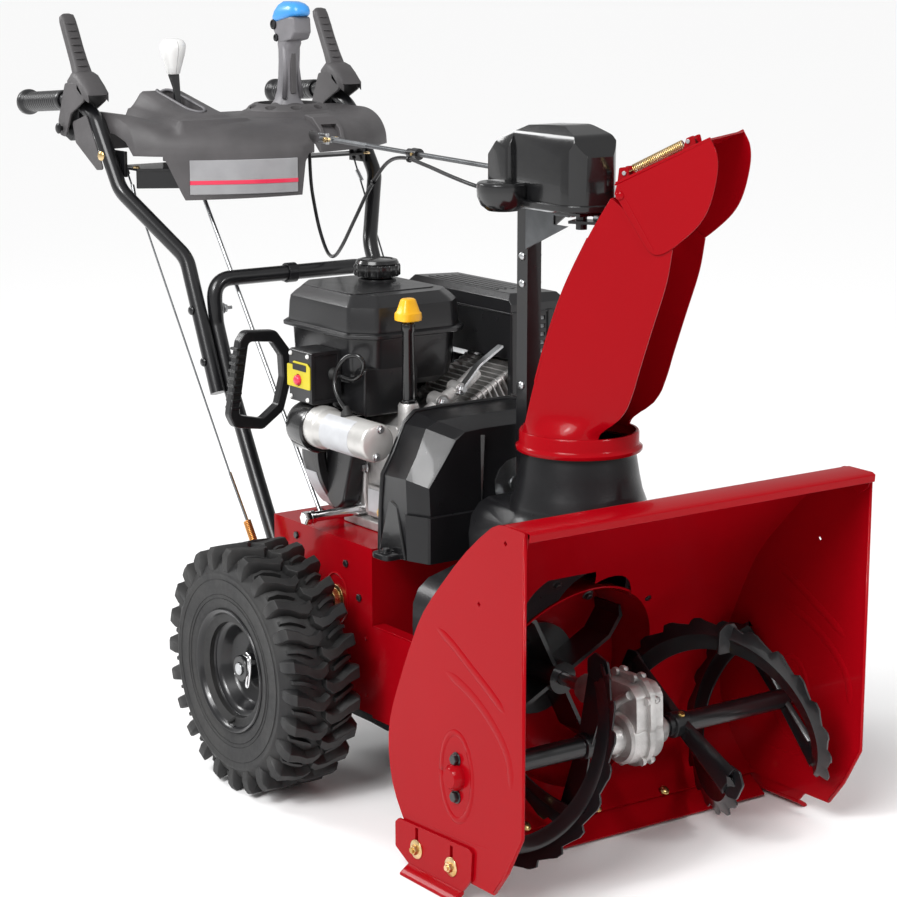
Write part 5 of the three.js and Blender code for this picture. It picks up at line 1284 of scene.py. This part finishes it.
def chute_controls():
    front, rear = Vector((0, 452, 950)), Vector((45, 1046, 954))

    def at(t):
        return front.lerp(rear, t)

    bar = rod(at(0), at(0.74), 3.8, 24) + rod(at(0.72), at(0.985), 4.6, 6)
    piece("chute_rod_bar", bar, "zinc_dark", "chute_rod", bevel=0.3, replaces=("chute_rod",))
    collars = rod(at(0.445), at(0.475), 9, 24) + rod(at(0.482), at(0.5), 7, 24)
    piece("chute_rod_collar", collars, "black_paint", "chute_rod", bevel=0.8)
    piece("chute_rod_pin", rod(at(0.46) + Vector((-11, 0, 0)), at(0.46) + Vector((11, 0, 0)), 2.4, 12),
          "gold_zinc", "chute_rod", bevel=0.3)
    clevis = []
    for a, b, turn in ((0.905, 0.945, 0), (0.948, 0.99, 1)):
        for s in (-1, 1):
            side = Vector((0, 0, 6.5 * s)) if turn else Vector((6.5 * s, 0, 0))
            section = FLAT_BAR if turn else UPRIGHT_BAR
            clevis.append(sweep([at(a) + side, at(b) + side], 0, section=section))
    cross = rod(at(0.945) + Vector((-9, 0, 0)), at(0.945) + Vector((9, 0, 0)), 3.2, 14)
    cross = cross + rod(at(0.948) - Vector((0, 0, 9)), at(0.948) + Vector((0, 0, 9)), 3.2, 14)
    piece("chute_rod_joint", total(clevis) + cross, "steel", "chute_rod", bevel=0.6)
    piece("chute_rod_nuts", total(bolt(at(0.93) + Vector((9 * s, 0, 0)), (s, 0, 0), 5, 4) for s in (-1, 1)),
          "gold_zinc", "chute_rod", bevel=0.3)
    front_end = rod(at(0.045), at(0.09), 8.5, 24)
    piece("chute_rod_boot", front_end, "black_plastic", "chute_rod", bevel=1.2)
    cable = [(80, 1132, 958), (78, 1127, 916), (76, 1120, 872), (76, 1112, 840), (74, 1092, 796),
             (66, 1056, 762), (50, 1010, 760), (34, 960, 784), (20, 900, 834), (8, 836, 892),
             (-4, 770, 936), (-20, 700, 950), (-36, 620, 946), (-50, 540, 938), (-58, 480, 932),
             (-58, 444, 928)]
    piece("deflector_cable_run", sweep(curve(cable, 8), 3, 14), "black_plastic", sharp=60,
          replaces=("deflector_cable",))
    ties = total(lathe([(3, -2), (5, -2), (5, 2), (3, 2)], "y", spot, 20)
                 for spot in ((5, 822, 901), (-24, 680, 949.6)))
    piece("cable_ties", ties, "black_plastic")


# ---------------------------------------------------------------- engine
def crankcase():
    outline = [(-92, 396), (96, 396), (96, 520), (70, 560), (-60, 566), (-92, 530)]
    body = slab("y", soft(outline, 8), 572, 760)
    base = slab("z", soft([(-106, 584), (106, 584), (106, 752), (-106, 752)], 12), 383.4, 398)
    nose = lathe([(12.6, 552), (30, 552), (36, 558), (38, 574), (12.6, 574)], "y", (0, 0, 487), 48)
    piece("crankcase_body", body, "cast_aluminium", bevel=3, replaces=("engine_block",))
    piece("crankcase_base", base, "cast_aluminium", bevel=2)
    piece("crankcase_nose", nose, "cast_aluminium", bevel=1)
    outline = [(-88, 402), (88, 402), (90, 512), (64, 550), (-56, 556), (-88, 522)]
    cover = slab("y", soft(outline, 16), 566, 573)
    piece("crankcase_cover", cover, "cast_aluminium", bevel=2, cuts=(rod((0, 560, 487), (0, 580, 487), 37),))
    rim = [(-80, 410), (-84, 470), (-82, 520), (-52, 548), (-30, 552), (20, 550), (60, 545), (84, 508),
           (86, 450), (82, 408)]
    bosses = total(lathe([(0, 0), (9, 0), (8, 9), (0, 9)], "y", (x, 561, z), 24) for x, z in rim)
    piece("crankcase_bosses", bosses, "cast_aluminium", bevel=0.8)
    piece("crankcase_bolts", total(bolt((x, 561, z), (0, -1, 0), 5.2, 5, 7.6) for x, z in rim), "steel",
          bevel=0.3)
    side = []
    for y in (590, 622, 700, 738):
        side.append(sweep([(-91, y, 404), (-95, y, 440), (-93, y, 500), (-88, y, 534)], 4.5, 10))
    side.append(block((-98, -90), (640, 690), (402, 452)))
    side.append(slab("x", soft([(596, 520), (700, 500), (740, 540), (610, 556)], 10), -98, -90))
    piece("crankcase_ribs", total(side), "cast_aluminium", bevel=1.5)
    plate = slab("x", soft([(644, 410), (686, 410), (686, 446), (644, 446)], 3), -99.2, -98)
    piece("crankcase_label", plate, "label")
    spots = ((606, 410), (716, 410), (604, 470), (620, 508), (698, 476), (716, 520))
    piece("crankcase_side_bolts", total(bolt((-96, y, z), (-1, 0, 0), 6, 6, 9) for y, z in spots), "steel",
          bevel=0.3)
    drain = rod((-80, 706, 408), (-194, 706, 408), 8, 28)
    piece("drain_pipe", drain, "chrome", bevel=0.5)
    cap = bolt((-194, 706, 408), (-1, 0, 0), 11, 12) + rod((-186, 706, 408), (-194, 706, 408), 10, 24)
    piece("drain_cap", cap, "chrome", bevel=0.6)
    plug = bolt((-97, 646, 414), (-1, 0, 0.1), 8, 8, 11)
    piece("oil_plug", plug, "gold_zinc", bevel=0.6)

    turn = Matrix.Translation((0, 0, 513)) @ Matrix.Rotation(math.radians(62), 4, "Y")
    head = block((-38, 38), (606, 716), (30, 175)).moved(turn)
    piece("cylinder", head, "cast_aluminium", bevel=3)
    plates = []
    for k in range(11):
        along = 50 + k * 10.5
        plates.append(slab("z", soft([(-52, 590), (52, 590), (52, 732), (-52, 732)], 10), along,
                           along + 2.6))
    piece("cylinder_fins", total(plates).moved(turn), "cast_aluminium", bevel=0.5)
    posts = []
    for x in (-44, 44):
        for y in (598, 724):
            posts.append(rod((x, y, 44), (x, y, 176), 6, 16))
    piece("cylinder_posts", total(posts).moved(turn), "cast_aluminium", bevel=0.6)
    bracket = sweep([(-6, 580, 600), (36, 584, 640), (84, 590, 664)], 0,
                    section=[(-6, -2), (6, -2), (6, 2), (-6, 2)])
    piece("engine_stay", bracket, "steel", bevel=0.6)
    lumps = [bolt((-34, 577, 590), (0, -1, 0.2), 6.5, 6, 9), bolt((2, 579, 606), (0, -1, 0.2), 6, 6, 8),
             bolt((-70, 575, 570), (0, -1, 0.2), 7, 6, 10)]
    piece("engine_bolts", total(lumps), "steel", bevel=0.3)
    castings = sweep([(-70, 588, 566), (-30, 590, 588), (6, 594, 604), (44, 600, 626)], 11, 14)
    castings = castings + sweep([(-92, 600, 540), (-66, 592, 570)], 14, 14)
    castings = castings + rod((-34, 578, 590), (-34, 604, 592), 13, 20)
    castings = castings + rod((-70, 576, 570), (-70, 602, 572), 13, 20)
    castings = castings + rod((2, 580, 606), (2, 606, 608), 10, 20)
    piece("engine_castings", castings, "cast_aluminium", bevel=1, sharp=60)

    boss = lathe([(6, 540), (16, 540), (16, 588), (14, 592), (6, 592)], "z", (*DIPSTICK, 0), 32)
    tube = lathe([(6, 588), (10, 588), (9, 700), (10.5, 703), (10.5, 712), (9, 714), (6, 714)], "z",
                 (*DIPSTICK, 0), 32)
    ring = lathe([(9.6, 588), (12.4, 589), (12.4, 596), (9.6, 598)], "z", (*DIPSTICK, 0), 32)
    piece("fill_boss", boss, "cast_aluminium", bevel=0.8)
    piece("fill_tube", tube + ring, "gloss_plastic", bevel=0.5)


def belt_guard():
    rear = [(-168, 386), (-166, 452), (-162, 500), (-143, 532), (-124, 572), (-104, 588), (-60, 590),
            (60, 590), (88, 586), (108, 566), (122, 500), (126, 440), (126, 386)]
    middle = [(-170, 386), (-173, 462), (-175, 508), (-156, 541), (-139, 580), (-118, 589), (-60, 591),
              (60, 591), (88, 586), (108, 566), (121, 500), (124, 440), (124, 386)]
    front = [(-158, 386), (-158, 462), (-160, 500), (-134, 535), (-112, 566), (-95, 577), (-60, 579),
             (60, 579), (80, 572), (97, 552), (108, 500), (112, 440), (112, 386)]
    step = [(x * 0.985, 386 + (z - 386) * 0.99) for x, z in front]

    def level(y, outline, grow=0.0, drop=0.0):
        return [(x * (1 + grow), y, z + (z - 386) * grow - drop) for x, z in outline]

    shell = raw_object("belt_guard", loft([level(437, step), level(440, front), level(472, middle),
                                           level(552, rear)]))
    inner = ((444, front), (472, middle), (553, rear))
    carve(shell, loft([level(y, outline, -0.03, 6) for y, outline in inner]))
    finish_casting(shell, "black_plastic", 3.5, 20, "belt_cover")
    lip = loft([level(y, rear, grow) for y, grow in ((546, 0.012), (548, 0.02), (553, 0.02), (554, 0.01))])
    piece("belt_guard_lip", lip, "black_plastic", bevel=0.8, sharp=28,
          cuts=(loft([level(y, rear, -0.015, 6) for y in (540, 560)]),))
    ledge = loft([level(y, [(x, min(z, 455)) for x, z in outline], grow) for y, outline, grow in
                  ((433, front, 0.0), (436, front, 0.02), (472, middle, 0.02), (473, middle, 0.0))])
    piece("belt_guard_ledge", ledge, "black_plastic", bevel=2.4, sharp=24,
          cuts=(loft([level(y, outline, -0.02, 6) for y, outline in ((438.5, front), (474, middle))]),))
    blade = loft([[(-66, 437, 568), (-56, 437, 568), (-61, 433, 568)],
                  [(-64, 437, 458), (-63, 437, 458), (-63.5, 436, 458)]])
    piece("belt_guard_rib", blade, "gloss_plastic", bevel=0.6)
    facet = loft([[(-176, 474, 386), (-178, 540, 386), (-160, 470, 386)],
                  [(-172, 500, 462), (-170, 524, 470), (-166, 500, 464)]])
    piece("belt_guard_facet", facet, "gloss_plastic", bevel=2, sharp=24)
    foot = slab("z", soft([(-200, 488), (-150, 488), (-150, 530), (-200, 530)], 12), 384.2, 393)
    piece("belt_guard_foot", foot, "black_plastic", bevel=2)
    piece("belt_guard_bolt", bolt((-186, 508, 393), (0, 0, 1), 6.5, 5, 9), "black_paint", bevel=0.4)


def fuel_system():
    plan = [(-146, 670), (-112, 636), (34, 636), (66, 668), (66, 838), (0, 892), (-100, 892), (-146, 848)]

    def level(z, scale, radius):
        grown = [(-40 + (x + 40) * scale, 764 + (y - 764) * scale) for x, y in plan]
        return [(x, y, z) for x, y in soft(grown, radius, 5)]

    upper = loft([level(689, 0.96, 16), level(693, 0.97, 16), level(700, 0.965, 16), level(722, 0.955, 16),
                  level(732, 0.94, 16), level(739, 0.885, 15), level(745, 0.825, 14), level(748, 0.80, 13)])
    piece("tank_upper", upper, "satin_plastic", sharp=30, replaces=("fuel_tank",))
    flange = loft([level(685, 1.0, 16), level(686.5, 1.028, 17), level(691.5, 1.03, 17),
                   level(693.5, 1.0, 16)])
    piece("tank_flange", flange, "satin_plastic", sharp=40, bevel=0.5)
    room = lathe([(0, 740), (132, 740), (132, 900), (0, 900)], "y", (RECOIL[0], 0, RECOIL[1]), 80)
    lower = loft([level(606, 0.78, 18), level(616, 0.86, 18), level(640, 0.895, 18), level(686, 0.915, 18)])
    piece("tank_lower", lower, "satin_plastic", sharp=30, cuts=(room,))
    saddle = slab("y", soft([(-128, 566), (-60, 566), (-30, 590), (-30, 640), (-128, 640)], 8), 650, 742)
    piece("tank_saddle", saddle, "satin_plastic", bevel=3)
    pad = slab("z", soft([(-120, 690), (30, 690), (40, 720), (40, 830), (-10, 866), (-90, 866),
                          (-124, 830)], 14), 747.6, 749.4)
    piece("tank_pad", pad, "satin_plastic", bevel=0.8)
    neck = lathe([(0, 746), (30, 746), (30, 752), (23, 754), (23, 756.5), (0, 756.5)], "z", (*FUEL_CAP, 0),
                 48)
    piece("tank_neck", neck, "satin_plastic", bevel=0.6)
    skirt = []
    for z, grow in ((757, -1.2), (758.5, 0), (772, 0), (775, -1.0)):
        ring = []
        for k in range(144):
            a = 2 * math.pi * k / 144
            wave = max(0, math.cos(a * 12)) ** 0.5
            r = 34.2 + 2.8 * wave + grow
            ring.append((FUEL_CAP[0] + r * math.cos(a), FUEL_CAP[1] + r * math.sin(a), z))
        skirt.append(ring)
    piece("cap_skirt", loft(skirt), "gloss_plastic", "tank_cap", sharp=50, replaces=("fuel_cap",))
    crown = lathe([(0, 774), (33.5, 774), (34.6, 777), (32, 782), (26, 783.5), (24.5, 782), (12, 782.6),
                   (0, 784.5)], "z", (*FUEL_CAP, 0), 64)
    piece("cap_crown", crown, "gloss_plastic", "tank_cap", bevel=0.5)


def muffler():
    x0, x1, y0, y1 = 94, 206, 578, 862
    low = [(x0, 586), (x1, 586), (x1, 700), (x1, 716), (x1 - 16, 740), (x0 + 8, 744), (x0, 734)]
    end_cut = [slab("x", [(y0 - 5, 722), (y0 + 18, 750), (y0 - 5, 750)], 60, 240),
               slab("x", [(y1 + 5, 722), (y1 - 18, 750), (y1 + 5, 750)], 60, 240),
               block((x0 + 4, x1 - 4), (y0 + 4, y1 - 4), (570, 732)),
               block((x0 - 5, x0 + 5), (y0 + 8, 736), (580, 642))]
    for k in range(7):
        height = (622 + k * 13, 628 + k * 13)
        end_cut.append(block((x0 + 14, x1 - 46), (y0 - 5, y0 + 9), height))
        end_cut.append(block((x1 - 34, x1 - 8), (y0 - 5, y0 + 9), height))
        end_cut.append(block((x1 - 8, x1 + 5), (y0 + 20, y1 - 20), height))
    piece("muffler_guard", slab("y", low, y0, y1), "satin_plastic", bevel=2.2, cuts=end_cut,
          replaces=("muffler_cover",))
    grooves = total(block((x0 + 16 + k * 15, x0 + 22 + k * 15), (y0 + 60, y1 - 40),
                          (742.4 - k * 0.8, 744.6 - k * 0.8)) for k in range(5))
    piece("muffler_ribs", grooves, "satin_plastic", bevel=0.6)
    belt_line = slab("z", [(x0 - 1.5, y0 - 1.5), (x1 + 1.5, y0 - 1.5), (x1 + 1.5, y1 + 1.5),
                           (x0 - 1.5, y1 + 1.5)], 712, 715)
    piece("muffler_seam", belt_line, "satin_plastic", bevel=0.8)
    uprights = total(block((x, x + 10), (y0 - 3, y0 + 1), (590, 716)) for x in (x0 + 1, x1 - 42))
    piece("muffler_uprights", uprights, "satin_plastic", bevel=1.5)
    can = lathe([(0, 600), (44, 600), (48, 604), (48, 836), (44, 840), (0, 840)], "y", (150, 0, 668), 48)
    piece("muffler_can", can, "steel", bevel=1)


def wrapped_label(name, centre, radii, span, degrees):
    """A thin label bent round a drum that lies along Y."""
    patch = []
    for a in degrees:
        c, s = math.cos(math.radians(a)), math.sin(math.radians(a))
        corners = [(radii[0], span[0]), (radii[0], span[1]), (radii[1], span[1]), (radii[1], span[0])]
        patch.append([(centre[0] + r * c, y, centre[1] + r * s) for r, y in corners])
    piece(name, loft(patch), "label", sharp=40)


def recoil():
    axis = (RECOIL[0], 0, RECOIL[1])
    bell = [(125, 764), (130, 764), (130, 800), (127, 812), (118, 824), (104, 829), (72, 838), (64, 844),
            (44, 847), (0, 847), (0, 843), (60, 840), (70, 834), (104, 825), (116, 820), (124, 808),
            (125, 800)]
    trim = block((-160, 160), (740, 900), (300, 383.4))
    cuts = [trim]
    for k in range(12):
        turn = Matrix.Translation(axis) @ Matrix.Rotation(math.radians(30 * k + 15), 4, "Y")
        cuts.append(block((76, 100), (700, 900), (-4, 4)).moved(turn))
    piece("recoil_bell", lathe(bell, "y", axis, 72), "satin_plastic", bevel=0.8, cuts=cuts, sharp=35,
          replaces=("recoil_housing",))
    guide = rod((-128, 812, 600), (-60, 812, 560), 11, 28)
    piece("recoil_guide", guide, "satin_plastic", bevel=1.5)
    collar = lathe([(118, 758), (131.5, 758), (131.5, 768), (118, 768)], "y", axis, 72)
    piece("recoil_collar", collar, "satin_plastic", bevel=1, cuts=(trim,))
    wrapped_label("recoil_label", RECOIL, (130.8, 129.8), (772, 804), [196 + 3.6 * k for k in range(9)])
    hood = slab("x", soft([(690, 560), (766, 560), (766, 420), (740, 400), (716, 420), (690, 500)], 20),
                -126, -94)
    piece("blower_housing", hood, "satin_plastic", bevel=5)


def pull_grip():
    outer = [(-128, 604), (-132, 642), (-158, 676), (-214, 680), (-226, 664), (-246, 548), (-236, 528),
             (-184, 520), (-146, 546)]
    inner = [(-147, 600), (-149, 634), (-166, 658), (-208, 662), (-228, 548), (-186, 538), (-158, 558)]
    ring = slab("y", soft(outer, 14, 6), 854, 872)
    piece("handle_ring", ring, "satin_plastic", "pull_handle", bevel=3.5, segments=3,
          cuts=(slab("y", soft(inner, 9, 6), 840, 890),), replaces=("starter_handle",))
    bars = []
    for k in range(9):
        t = k / 8
        x, z = -229 - 11 * t, 652 - 92 * t
        bars.append(block((x - 3, x + 14), (852.6, 873.4), (z - 2.2, z + 2.2)))
    piece("handle_ridges", total(bars), "satin_plastic", "pull_handle", bevel=1.2)


def starter():
    barrel = [(0, 551), (25, 551), (27.5, 552.5), (29.5, 556), (29.5, 684), (31, 686), (33, 690),
              (33, 716), (0, 716)]
    piece("starter_barrel", lathe(barrel, "y", (STARTER[0], 0, STARTER[1]), 64), "bright_aluminium",
          bevel=0.8, sharp=40, replaces=("starter_motor",))
    wrapped_label("starter_label", STARTER, (30.1, 29.2), (590, 668), [112 + 9 * k for k in range(15)])
    cup = [(0, 708), (37, 708), (39.5, 711), (39.5, 746), (36, 756), (29, 761), (0, 761)]
    piece("starter_cup", lathe(cup, "y", (-168, 0, 545), 64), "gloss_plastic", bevel=0.8)
    ear = slab("y", soft([(-152, 520), (-152, 560), (-92.6, 560), (-92.6, 520)], 6), 700, 716)
    piece("starter_ear", ear, "bright_aluminium", bevel=1.5)
    heads = [bolt((STARTER[0] + 21 * math.cos(a), 551, STARTER[1] + 21 * math.sin(a)), (0, -1, 0), 4.6, 4,
                  6.4) for a in (math.radians(80), math.radians(260))]
    piece("starter_bolts", total(heads), "steel", bevel=0.3)

    case = soft([(-190, 583), (-136, 583), (-136, 664), (-190, 664)], 5)
    body = slab("y", case, 705, 767)
    well = rod((-200, 737, 618), (-170, 737, 618), 9, 40)
    piece("switch_case", body, "satin_plastic", bevel=1.8, cuts=(well,), replaces=("switch_box",))
    frame_edge = slab("y", case, 702.6, 705.5)
    inside = block((-184, -142), (690, 720), (589, 658))
    piece("switch_lip", frame_edge, "satin_plastic", bevel=0.8, cuts=(inside,))
    card = slab("x", soft([(704, 606), (769, 606), (769, 640), (752, 640), (752, 646), (712, 646),
                           (704, 640)], 3), -192.2, -190.4)
    piece("switch_card", card, "label_yellow", cuts=(well,), bevel=0.3)
    chip = slab("x", soft([(714, 633), (752, 633), (752, 643), (714, 643)], 1.5), -192.8, -192)
    piece("switch_card_band", chip, "black_plastic")
    corners = ((712, 657), (712, 590), (760, 657), (760, 590))
    rivets = [screw((-190.5, y, z), (-1, 0, 0), 3.6, 3) for y, z in corners]
    piece("switch_rivets", total(rivets), "white_plastic")
    button = lathe([(0, -18), (8, -18), (8, -3), (7.2, -0.6), (5, 1.2), (0, 2)], "x", (0, 0, 0), 40)
    button = button.moved(Matrix.Translation((-197, 737, 618)) @ Matrix.Diagonal((-1, 1, 1, 1)))
    piece("button_head", button, "red_plastic", "start_button", bevel=0.4, replaces=("starter_button",))
    lead = [(-150, 704, 628), (-146, 688, 626), (-140, 666, 624), (-138, 646, 634), (-140, 634, 652),
            (-146, 642, 664), (-154, 660, 660), (-164, 672, 640), (-170, 668, 616), (-172, 652, 598),
            (-172, 634, 586)]
    piece("starter_lead_loop", sweep(curve(lead, 8), 3.5, 16), "gloss_plastic", sharp=60,
          replaces=("starter_lead",))
    boots = lathe([(0, 0), (10, 0), (9, 5), (5.5, 9), (4.4, 15), (0, 15)], "z", (0, 0, 0), 24)
    upper_boot = boots.moved(Matrix.Translation((-150, 705, 628)) @ facing((0.2, -1, 0)))
    lower_boot = boots.moved(Matrix.Translation((-172, 632, 577)) @ facing((0, 0.2, 1)))
    piece("starter_lead_boots", upper_boot + lower_boot, "rubber", bevel=0.5)


def dipstick():
    rings = []
    for z, wide, deep in ((716.6, 14, 14), (718, 18.4, 16.5), (722, 19, 17), (729, 18.6, 16.5),
                          (732, 16, 14), (744, 12.4, 10.5), (749, 10.8, 9), (751, 8.5, 7)):
        rings.append([(x, y, z) for x, y in squircle(DIPSTICK, wide, deep, 0.6, 32)])
    piece("dipstick_cap", loft(rings), "yellow_plastic", "dipstick", sharp=28, bevel=1.2,
          replaces=("oil_dipstick",))
    piece("dipstick_blade", rod((*DIPSTICK, 541), (*DIPSTICK, 717), 2.4, 12), "steel", "dipstick")


housing()
scraper()
skids()
augers()
gear_housing()
keep("impeller", "black_paint", 0.8)
discharge_base()
chute()
deflector()
wheel("right", -1)
wheel("left", 1)
frame_parts()
chute_post()
gear_head()
handlebars()
console()
speed_control()
stick_control()
squeeze_levers()
chute_controls()
crankcase()
belt_guard()
fuel_system()
muffler()
recoil()
pull_grip()
starter()
dipstick()
